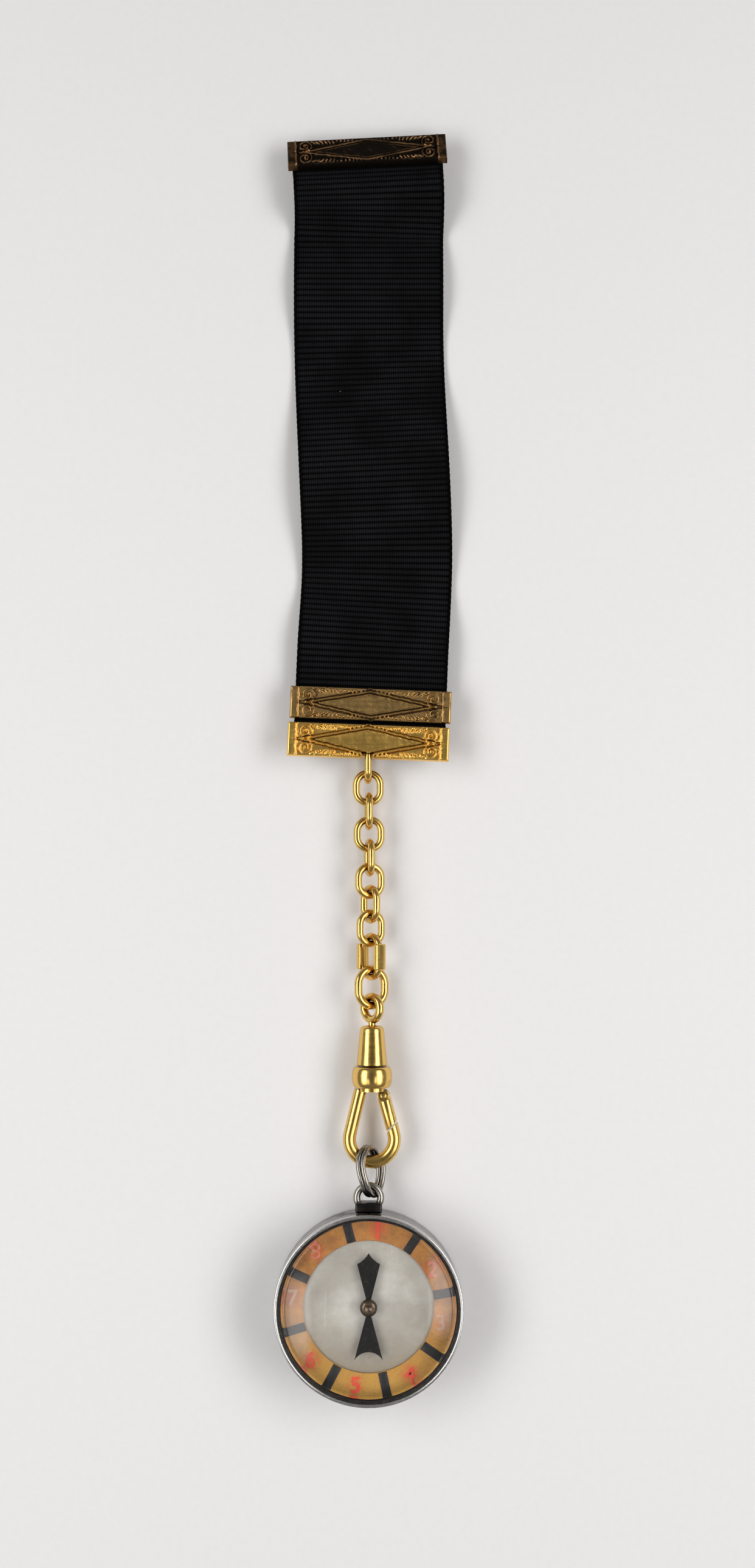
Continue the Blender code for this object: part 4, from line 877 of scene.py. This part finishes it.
def makeSwivel():
    values = clipSet
    foot = values["collarLength"] + values["barrelGap"]
    top = foot + values["barrelLength"]
    small = values["barrelTop"]
    crown = [(small * 0.62 + small * 0.38 * math.sin(math.radians(a)),
              top - small * 0.38 * (1 - math.cos(math.radians(a)))) for a in range(0, 91, 10)]
    wall = values["barrelFoot"]
    bore = values["shank"] + 0.2
    profile = crown + [(wall - 0.03, foot + 0.3), (wall, foot + 0.16), (wall - 0.1, foot + 0.03),
                       (wall - 0.2, foot), (bore, foot), (bore, top), crown[0]]
    barrel = turnPiece("swivelBarrel", profile, clipPlace @ alongY, 72)
    eyeY = top + values["eyeAbove"] + values["eyeLength"] / 2
    loop = stadiumLoop(values["eyeLength"], values["eyeLength"], values["eyeWire"])
    eye = settle(loop, "swivelEye", clipPlace @ Matrix.Translation((0, eyeY * mm, 0))
                 @ Matrix.Rotation(math.radians(values["eyeRoll"]), 4, "Y"))
    shankTop = eyeY - (values["eyeLength"] - values["eyeWire"]) / 2
    headFoot, headRadius, neck = values["headFoot"], values["headRadius"], values["shank"]
    headTop = headFoot + 0.7
    shankProfile = [(0, shankTop), (neck, shankTop), (neck, headTop), (headRadius - 0.1, headTop),
                    (headRadius, headTop - 0.1), (headRadius, headFoot + 0.1), (headRadius - 0.1, headFoot),
                    (0, headFoot)]
    shank = turnPiece("shank", shankProfile, clipPlace @ alongY, 48)
    joinPieces(eye, [shank])
    handOver(barrel, metals["brightGilt"], "swivel", "swivel_barrel")
    handOver(eye, metals["brightGilt"], "swivel", "swivel_eye")


def legTangent():
    # where a straight leg meets the round bow, on the right
    values = clipSet
    centre = Vector((0, -(values["reach"] - values["bow"])))
    away = Vector((values["spread"], 0)) - centre
    angle = math.atan2(away.y, away.x) - math.acos(values["bow"] / away.length)
    return centre, angle


def rodFrom(start, end, radius, sides=32):
    # an open tube from a circle primitive, drawn out from start to end; its end loop stays selected
    obj = addShape(bpy.ops.mesh.primitive_circle_add, vertices=sides, radius=radius * mm, fill_type="NGON")
    way = Vector(end) - Vector(start)
    turn = way.to_track_quat("Z", "Y").to_matrix().to_4x4()
    obj.matrix_world = Matrix.Translation(Vector(start) * mm) @ turn
    applyPlace()
    startEdit(obj)
    selectAll()
    extrudeBy(way * mm)
    return obj


def jointSpot():
    values = clipSet
    centre, angle = legTangent()
    foot = Vector((centre.x + values["bow"] * math.cos(angle), centre.y + values["bow"] * math.sin(angle), 0))
    top = Vector((values["spread"], 0, 0))
    share = values["jointDrop"] / -foot.y
    return top.lerp(foot, share), foot, (top - foot).normalized()


def makeHook():
    values = clipSet
    half = values["collarLength"] / 2
    rounding = values["rimRound"]
    side = values["collarRadius"] - rounding
    outer = [(side + rounding * math.cos(math.radians(a)), half + half * math.sin(math.radians(a)))
             for a in range(90, -91, -6)]
    seat = values["collarRadius"] - values["collarWall"]
    inner = [(seat, 0), (seat, 1.3), (1.8, 1.3), (1.8, values["collarLength"] - 0.65),
             (0.8, values["collarLength"] - 0.65), (0.8, values["collarLength"]), outer[0]]
    collar = turnPiece("hookCollar", outer + inner, clipPlace @ alongY, 96)
    spot, foot, way = jointSpot()
    centre, angle = legTangent()
    leftFoot = Vector((-foot.x, foot.y, 0))
    leftTop = leftFoot + Vector((-way.x, way.y, 0)) * ((-values["legTop"] - foot.y) / way.y)
    hook = rodFrom(leftTop, leftFoot, values["wire"])
    sweep = math.pi + 2 * angle
    bpy.ops.mesh.spin(steps=44, angle=-sweep, center=(centre.x * mm, centre.y * mm, 0), axis=(0, 0, 1))
    extrudeBy((spot + way * values["gateSpare"] - foot) * mm)
    tidyShell()
    slant = math.radians(values["slant"])
    cutNormal = Vector((-math.sin(slant), math.cos(slant), 0))
    startEdit(hook)
    selectWhere(lambda v: v.x > 0.3 * mm and v.y > (spot.y - 3.5) * mm)
    bpy.ops.mesh.select_linked()
    selectFacesWhere(lambda face: face.calc_center_median().x > 0.6 * mm)
    jointGap = cutNormal * values["jointGap"]
    bpy.ops.mesh.bisect(plane_co=(spot - jointGap) * mm, plane_no=cutNormal, use_fill=True, clear_outer=True)
    endEdit()
    block = rodFrom((0, 1.2, 0), (0, -0.6, 0), values["block"])
    tidyShell()
    lugs = []
    for level in (1, -1):
        low, high = sorted((level * values["lugGap"], level * values["wire"]))
        lug = rodFrom((*values["gatePivot"], low), (*values["gatePivot"], high), values["lug"])
        tidyShell()
        applyModifier(lug, "BEVEL", width=0.10 * mm, segments=3, limit_method="ANGLE")
        lugs.append(lug)
    joinPieces(hook, [block, *lugs])
    hook = settle(hook, "hookBody", clipPlace)
    pivot = Vector((*values["gatePivot"], 0))
    down = (spot - pivot).normalized()
    gate = rodFrom(pivot + down * 0.35, spot + down * values["gateSpare"], values["wire"])
    tidyShell()
    startEdit(gate)
    selectAll()
    bpy.ops.mesh.bisect(plane_co=(spot + jointGap) * mm, plane_no=cutNormal, use_fill=True, clear_inner=True)
    endEdit()
    applyModifier(gate, "BEVEL", width=0.12 * mm, segments=3, limit_method="ANGLE",
                  angle_limit=math.radians(50))
    tongue = roundedBlock(values["tongue"], (0, 0, 0), 0.3)
    tongue.matrix_world = (Matrix.Translation((pivot + down * 0.75) * mm)
                           @ Matrix.Rotation(math.atan2(down.y, down.x) + math.pi / 2, 4, "Z"))
    joinPieces(gate, [tongue])
    gate = settle(gate, "snapGate", clipPlace)
    head = [(0, 1.33), (0.30, 1.33), (0.44, 1.28), (0.50, 1.17), (0.32, 1.17)]
    rivetProfile = head + [(across, -high) for across, high in reversed(head)]
    rivet = turnPiece("gateRivet", rivetProfile, clipPlace @ Matrix.Translation(pivot * mm), 40)
    for piece, node, body in ((collar, "hook_collar", "hook"), (hook, "hook_body", "hook"),
                              (gate, "gate", "gate"), (rivet, "gate_rivet", "hook")):
        handOver(piece, metals["brightGilt"], body, node)
    print("swivel clip made")


# split ring and case loop

ringSet = {"length": 8.4, "width": 6.6, "wire": 0.40, "pitch": 0.86, "roll": 62.0, "turns": 2}


def makeSplitRing():
    values = ringSet
    wide, long = values["width"] / 2 - values["wire"], values["length"] / 2 - values["wire"]
    places = []
    steps = 60
    for i in range(values["turns"] * steps + 5):
        angle = 2 * math.pi * i / steps
        step = smoothStep(0.40, 0.60, (i % steps) / steps) + i // steps
        rise = (step - values["turns"] / 2) * values["pitch"]
        places.append(Vector((wide * math.cos(angle), long * math.sin(angle), rise)) * mm)
    obj = addShape(bpy.ops.mesh.primitive_circle_add,
                   vertices=20, radius=values["wire"] * mm, fill_type="NGON")
    last = len(places) - 1
    ways = [(places[min(i + 1, last)] - places[max(i - 1, 0)]).normalized() for i in range(last + 1)]
    obj.matrix_world = Matrix.Translation(places[0]) @ ways[0].to_track_quat("Z", "X").to_matrix().to_4x4()
    applyPlace()
    startEdit(obj)
    selectAll()
    for i in range(1, len(places)):
        extrudeBy(places[i] - places[i - 1])
        mesh = bmesh.from_edit_mesh(obj.data)
        turn = ways[i - 1].rotation_difference(ways[i]).to_matrix()
        for vertex in mesh.verts:
            if vertex.select:
                vertex.co = turn @ (vertex.co - places[i]) + places[i]
        bmesh.update_edit_mesh(obj.data)
    tidyShell()
    middle = boundsMiddle(obj)
    ring = settle(obj, "splitRing", Matrix.Translation(boxMiddle("split_ring"))
                  @ Matrix.Rotation(math.radians(values["roll"]), 4, "Y") @ Matrix.Translation(-middle))
    handOver(ring, metals["darkSteel"], "split_ring", "split_ring")
    print("split ring made")


# spinner drum

drumSet = {
    "bezel": 15.15, "bezelWidth": 0.95, "bezelLow": 7.15, "bezelHigh": 8.6, "bezelRoll": 0.28,
    "ringInner": 10.5, "ringLow": 4.40, "ringTop": 4.70, "wall": 13.96, "gasketTop": 6.88,
    "dividers": (10, 55, 105, 156, 197, 242, 282, 325), "dividerWide": 1.45, "dividerReach": (10.55, 13.92),
    # numerals in the left and right sectors take paler copies of the red ink: a painted reflection of glare
    # on the dome
    "numerals": (("1", 83, 12.1, "red"), ("2", 30.5, 11.9, "redUnderGlare"), ("3", 348, 11.8, "redUnderStrongGlare"),
                 ("4", 302, 12.5, "red"), ("5", 260.5, 12.5, "red"), ("6", 222, 12.5, "red"),
                 ("7", 173, 12.2, "redUnderStrongGlare"), ("8", 134, 12.3, "redUnderGlare")),
    "glassEdge": 0.35, "glassThick": 0.50, "glassRise": 1.35, "numeralSize": 3.5, "numeralThick": 0.05,
    "markGrow": 0.04,
}


def makeBezel():
    values = drumSet
    outer, width = values["bezel"], values["bezelWidth"]
    low, high = values["bezelLow"], values["bezelHigh"]
    inner = outer - width
    roll = values["bezelRoll"]
    crown = [(outer - roll + roll * math.cos(math.radians(a)), high - roll + roll * math.sin(math.radians(a)))
             for a in range(0, 181, 12)]
    lip = outer - 2 * roll
    profile = [(lip, low), (outer - 0.12, low), (outer, low + 0.12)] + crown + [(lip, low)]
    bezel = turnPiece("bezelRing", profile, Matrix.Translation(drumMiddle), 180)
    handOver(bezel, metals["greySteel"], "case", "front_bezel")
    # a black ring lines the bezel's inner side
    wall = lip - 0.01
    profile = [(inner, low), (wall, low), (wall, high - 0.24), (wall - 0.12, high - 0.34),
               (inner + 0.10, high - 0.52), (inner, high - 0.62), (inner, low)]
    lining = turnPiece("blackBezelLining", profile, Matrix.Translation(drumMiddle), 180)
    handOver(lining, gasketFinish(), "case")


def makeDialRing():
    # printed ring and the black wall round it, reaching out to the case
    values = drumSet
    inner, outer = values["ringInner"], values["wall"]
    low, high = values["ringLow"], values["ringTop"]
    profile = [(inner, low), (outer, low), (outer, high), (inner + 0.05, high), (inner, high - 0.05),
               (inner, low)]
    ring = turnPiece("printedRing", profile, Matrix.Translation(drumMiddle), 180)
    handOver(ring, dialRingFinish(), "case", "dial_ring")
    top = values["gasketTop"]
    near, far = outer + 0.01, outer + 0.09
    profile = [(near, high + 0.02), (far, high + 0.02), (far, top), (outer + 0.05, top + 0.02), (near, top),
               (near, high + 0.02)]
    gasket = turnPiece("gasketWall", profile, Matrix.Translation(drumMiddle), 180)
    handOver(gasket, gasketFinish(), "case", "crystal_gasket")


def makeCrystal():
    low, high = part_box("crystal")
    radius = (high.x - low.x) / 2 / mm
    foot, top = low.z / mm, high.z / mm
    edge, thick, rise = drumSet["glassEdge"], drumSet["glassThick"], drumSet["glassRise"]
    sphere = (radius ** 2 + rise ** 2) / (2 * rise)
    centre = top - sphere
    outer = arcPoints((0, centre), sphere, 90, 90 - math.degrees(math.asin((radius - 0.12) / sphere)), 24)
    inside = sphere - thick
    inner = arcPoints((0, centre), inside, 90 - math.degrees(math.asin((radius - thick) / inside)), 90, 24)
    rim = [(radius, foot + edge - 0.10), (radius, foot + 0.06), (radius - 0.06, foot), (radius - thick, foot)]
    crystal = turnPiece("domedCrystal", outer + rim + inner, Matrix.Translation(drumMiddle), 180, 50)
    handOver(crystal, glassFinish(), "case", "crystal")


def makeHub():
    low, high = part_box("needle_hub")
    radius = (high.x - low.x) / 2 / mm
    foot, top = low.z / mm, high.z / mm
    profile = [(0, top - 0.26), (0.22, top - 0.24), (0.42, top - 0.10), (0.60, top - 0.01),
               (0.85, top - 0.04), (1.15, top - 0.22), (radius - 0.06, top - 0.48), (radius, top - 0.66),
               (radius, foot + 0.42), (0.90, foot + 0.40), (0.90, foot), (0.60, foot), (0.60, top - 0.40),
               (0, top - 0.40)]
    hub = turnPiece("needleHub", profile, Matrix.Translation(drumMiddle), 64)
    handOver(hub, metals["brownBrass"], "arrow", "needle_hub")


loopSet = {"radius": 2.5, "wire": 0.58, "sink": 0.55, "neck": (4.3, 1.35, 3.9), "neckUp": 0.70, "height": 4.3}


def makeCaseLoop():
    values = loopSet
    low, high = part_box("case_bow")
    middle = high.y / mm - values["radius"]
    height = values["height"]
    loop = addShape(bpy.ops.mesh.primitive_torus_add,
                    major_radius=(values["radius"] - values["wire"]) * mm,
                    minor_radius=values["wire"] * mm, major_segments=84, minor_segments=24)
    neckTop = -values["sink"]
    wide, tall, thick = values["neck"]
    startEdit(loop)
    selectAll()
    bpy.ops.mesh.bisect(plane_co=(0, (neckTop - 0.3 * tall) * mm, 0), plane_no=(0, -1, 0), use_fill=True,
                        clear_outer=True)
    endEdit()
    loop.data.materials.append(metals["darkSteel"])
    foot = low.y / mm - middle
    neck = roundedBlock((wide, neckTop - foot, thick), (0, (neckTop + foot) / 2, values["neckUp"]), 0.32)
    neck.data.materials.append(metals["blackSteel"])
    joinPieces(loop, [neck])
    bow = settle(loop, "caseLoop", Matrix.Translation((drumMiddle.x, middle * mm, height * mm)))
    handOver(bow, None, "case", "case_bow")


def makeDialMarks():
    values = drumSet
    start, end = values["dividerReach"]
    bars = []
    for number, angle in enumerate(values["dividers"]):
        bar = addShape(bpy.ops.mesh.primitive_cube_add, size=1)
        wide = values["dividerWide"] + 0.12 * math.sin(3.1 * number)    # painted by hand
        bar.scale = ((end - start) * mm, wide * mm, 0.10 * mm)
        bar.location = ((start + end) / 2 * mm, 0, (values["ringTop"] + 0.045) * mm)
        applyPlace()
        applyModifier(bar, "BEVEL", width=0.05 * mm, segments=2)
        bar.matrix_world = Matrix.Rotation(math.radians(angle), 4, "Z")
        bars.append(bar)
    joinPieces(bars[0], bars[1:])
    marks = settle(bars[0], "dialDividers", Matrix.Translation(drumMiddle))
    handOver(marks, paints["black"], "case")
    for text, angle, radius, ink in values["numerals"]:
        clearSelection()
        bpy.ops.object.text_add()
        numeral = bpy.context.object
        numeral.data.body = text
        numeral.data.size = values["numeralSize"] * mm
        numeral.data.align_x = "CENTER"
        numeral.data.align_y = "CENTER"
        numeral.data.extrude = values["numeralThick"] / 2 * mm
        numeral.data.offset = values["markGrow"] * mm
        numeral.data.bevel_depth = 0.012 * mm
        numeral.data.resolution_u = 6
        bpy.ops.object.convert(target="MESH")
        numeral = bpy.context.object
        turn = math.radians(angle)
        height = values["ringTop"] + values["markGrow"]
        spot = Vector((radius * math.cos(turn), radius * math.sin(turn), height)) * mm
        middle = boundsMiddle(numeral)
        settle(numeral, "numeral" + text, Matrix.Translation(drumMiddle + spot - middle))
        handOver(numeral, paints[ink], "case")
    print("dial marks made")


# the paler inks are the red ink with a painted reflection of glare laid over it
paintSet = {
    "black": {"colour": (0.008, 0.007, 0.007), "thin": (0.030, 0.024, 0.020), "share": (0.55, 0.9),
              "rough": 0.35},
    "red": {"colour": (0.66, 0.050, 0.020), "thin": (0.55, 0.15, 0.06), "share": (0.50, 0.78), "rough": 0.5},
    "redUnderGlare": {"colour": (0.60, 0.13, 0.075), "thin": (0.48, 0.27, 0.15), "share": (0.42, 0.68), "rough": 0.55},
    "redUnderStrongGlare": {"colour": (0.52, 0.20, 0.12), "thin": (0.44, 0.29, 0.17), "share": (0.34, 0.60), "rough": 0.6},
}


def paintFinish(name):
    values = paintSet[name]
    material, tree, shader, where = startMaterial(name + "Paint")
    blotch = noiseAt(tree, where, 1500, 3.0, 0.6)
    share = remap(tree, blotch, *values["share"])
    rough = remap(tree, blotch, 0.2, 0.8, values["rough"] - 0.1, values["rough"] + 0.15)
    colour = mixColour(tree, share, values["colour"], values["thin"])
    plug(tree, shader, colour, rough, (blotch, 0.3, 0.05 * mm))
    return material


def gaugeAt(tree, where, centre):
    # place on the dial and distance from its middle, in millimetres, from object coordinates
    moved = addNode(tree, "ShaderNodeVectorMath", operation="SUBTRACT", links={0: where})
    moved.inputs[1].default_value = centre
    flat = addNode(tree, "ShaderNodeVectorMath", operation="MULTIPLY", links={0: moved.outputs[0]})
    flat.inputs[1].default_value = (1 / mm, 1 / mm, 0)
    length = addNode(tree, "ShaderNodeVectorMath", operation="LENGTH", links={0: flat.outputs[0]})
    return flat.outputs[0], length.outputs["Value"]


# near is a painted highlight round the hub; low is darker towards the bottom
dialSet = {"near": (0.60, 0.585, 0.545), "middle": (0.43, 0.415, 0.375), "low": (0.27, 0.23, 0.17),
           # ringLow is a painted glare on the printed ring towards the bottom
           "ringBright": (0.55, 0.25, 0.065), "ringDull": (0.36, 0.155, 0.05), "ringLow": (0.66, 0.38, 0.075)}


def dialFinish():
    material, tree, shader, where = startMaterial("creamDial")
    flat, away = gaugeAt(tree, where, drumMiddle)
    parts = addNode(tree, "ShaderNodeSeparateXYZ", links={"Vector": flat}).outputs
    # lighter round the hub: painted highlight
    colour = mixColour(tree, remap(tree, away, 1.5, 8.5), dialSet["near"], dialSet["middle"])
    low = mathNode(tree, "MULTIPLY", remap(tree, parts["Y"], 1.0, -11.0),
                   remap(tree, away, 3.0, 10.0, 0.25, 1.0))
    colour = mixColour(tree, low, colour, dialSet["low"])
    cloud = noiseAt(tree, where, 170, 2.0, 0.5)
    colour = mixColour(tree, remap(tree, cloud, 0.42, 0.66, 0.0, 0.42), colour, (0.22, 0.20, 0.17))
    mottle = noiseAt(tree, where, 900, 4.0, 0.65)
    colour = mixColour(tree, remap(tree, mottle, 0.35, 0.75, 0.0, 0.28), colour, (0.26, 0.20, 0.13))
    scratch = noiseAt(tree, where, 1400, 2.0, 0.5, (1.0, 0.06, 1.0))
    colour = mixColour(tree, remap(tree, scratch, 0.66, 0.74, 0.0, 0.35), colour, (0.62, 0.58, 0.50))
    specks = groupNode(tree, "dust", where, {"Scale": 800.0, "Amount": 0.28})
    share = mathNode(tree, "MULTIPLY", specks.outputs["Mask"], 0.7)
    colour = mixColour(tree, share, colour, (0.14, 0.09, 0.05))
    shader.inputs["Metallic"].default_value = 0.25
    plug(tree, shader, colour, remap(tree, mottle, 0.3, 0.7, 0.42, 0.60), (mottle, 0.25, 0.05 * mm))
    return material


stainSet = {"red": 0.90, "redUnderGlare": 0.62, "redUnderStrongGlare": 0.42}   # smudged ink round each numeral, weaker under the painted glare


def dialRingFinish():
    material, tree, shader, where = startMaterial("giltDialRing")
    flat = gaugeAt(tree, where, drumMiddle)[0]
    parts = addNode(tree, "ShaderNodeSeparateXYZ", links={"Vector": flat}).outputs
    fine = noiseAt(tree, where, 2600, 4.0, 0.7)
    broad = noiseAt(tree, where, 420, 3.0, 0.6)
    colour = mixColour(tree, remap(tree, broad, 0.35, 0.68), dialSet["ringBright"], dialSet["ringDull"])
    # painted glare, brighter towards the bottom of the ring
    colour = mixColour(tree, remap(tree, parts["Y"], 0.0, -12.0, 0.0, 0.75), colour, dialSet["ringLow"])
    colour = mixColour(tree, remap(tree, fine, 0.52, 0.75, 0.0, 0.5), colour, (0.13, 0.07, 0.035))
    stains = None
    for _, angle, radius, ink in drumSet["numerals"]:
        spot = Vector((math.cos(math.radians(angle)), math.sin(math.radians(angle)), 0)) * radius
        near = addNode(tree, "ShaderNodeVectorMath", operation="DISTANCE", links={0: flat})
        near.inputs[1].default_value = spot
        stain = remap(tree, near.outputs["Value"], 2.0, 0.4, 0.0, stainSet[ink])
        stains = stain if stains is None else mathNode(tree, "MAXIMUM", stains, stain)
    share = mathNode(tree, "MULTIPLY", stains, remap(tree, noiseAt(tree, where, 900, 3.0, 0.7), 0.36, 0.56))
    colour = mixColour(tree, share, colour, (0.66, 0.115, 0.05))
    shader.inputs["Metallic"].default_value = 0.6
    plug(tree, shader, colour, remap(tree, fine, 0.3, 0.7, 0.30, 0.52), (fine, 0.45, 0.07 * mm))
    return material


def gasketFinish():
    material, tree, shader, where = startMaterial("blackGasket")
    grime = noiseAt(tree, where, 1800, 3.0, 0.6)
    colour = mixColour(tree, remap(tree, grime, 0.45, 0.75), (0.006, 0.006, 0.006), (0.05, 0.038, 0.026))
    plug(tree, shader, colour, remap(tree, grime, 0.3, 0.7, 0.4, 0.65))
    return material


def glassFinish():
    material, tree, shader, where = startMaterial("domedGlass")
    shader.inputs["Base Color"].default_value = (1, 1, 1, 1)
    shader.inputs["Transmission Weight"].default_value = 1.0
    shader.inputs["IOR"].default_value = 1.45
    film = noiseAt(tree, where, 500, 4.0, 0.6)
    scratch = noiseAt(tree, where, 1500, 2.0, 0.5, (1.0, 0.05, 1.0))
    marks = mathNode(tree, "MAXIMUM", remap(tree, film, 0.60, 0.80, 0.0, 0.06),
                     remap(tree, scratch, 0.70, 0.76, 0.0, 0.12))
    tree.links.new(mathNode(tree, "ADD", marks, 0.02), shader.inputs["Roughness"])
    lamps = addNode(tree, "ShaderNodeLightPath").outputs["Is Shadow Ray"]
    clear = addNode(tree, "ShaderNodeBsdfTransparent").outputs[0]
    mix = addNode(tree, "ShaderNodeMixShader", links={0: lamps, 1: shader.outputs[0], 2: clear})
    tree.links.new(mix.outputs[0], tree.nodes["Material Output"].inputs["Surface"])    # lamps reach the dial
    return material


def needleFinish():
    material, tree, shader, where = startMaterial("blackNeedle")
    grain = noiseAt(tree, where, 2400, 3.0, 0.6)
    shader.inputs["Specular IOR Level"].default_value = 0.15
    colour = mixColour(tree, remap(tree, grain, 0.5, 0.75), (0.006, 0.006, 0.006), (0.030, 0.024, 0.018))
    plug(tree, shader, colour, remap(tree, grain, 0.3, 0.7, 0.32, 0.50), (grain, 0.2, 0.04 * mm))
    return material


paints = {name: paintFinish(name) for name in paintSet}
reliefMetals = {name: metalFinish(name, relief=True) for name in hollowSet}

makeBars()
makeRibbon()
makeChain()
makeSwivel()
makeHook()
makeSplitRing()
makeBezel()
makeDialRing()
makeCrystal()
makeHub()
makeCaseLoop()
makeDialMarks()
dressNodes(["dial_plate"], dialFinish())
dressNodes(["case_band", "back_cover"], metals["bandSteel"])
dressNodes(["needle"], needleFinish())
print("drum dressed")
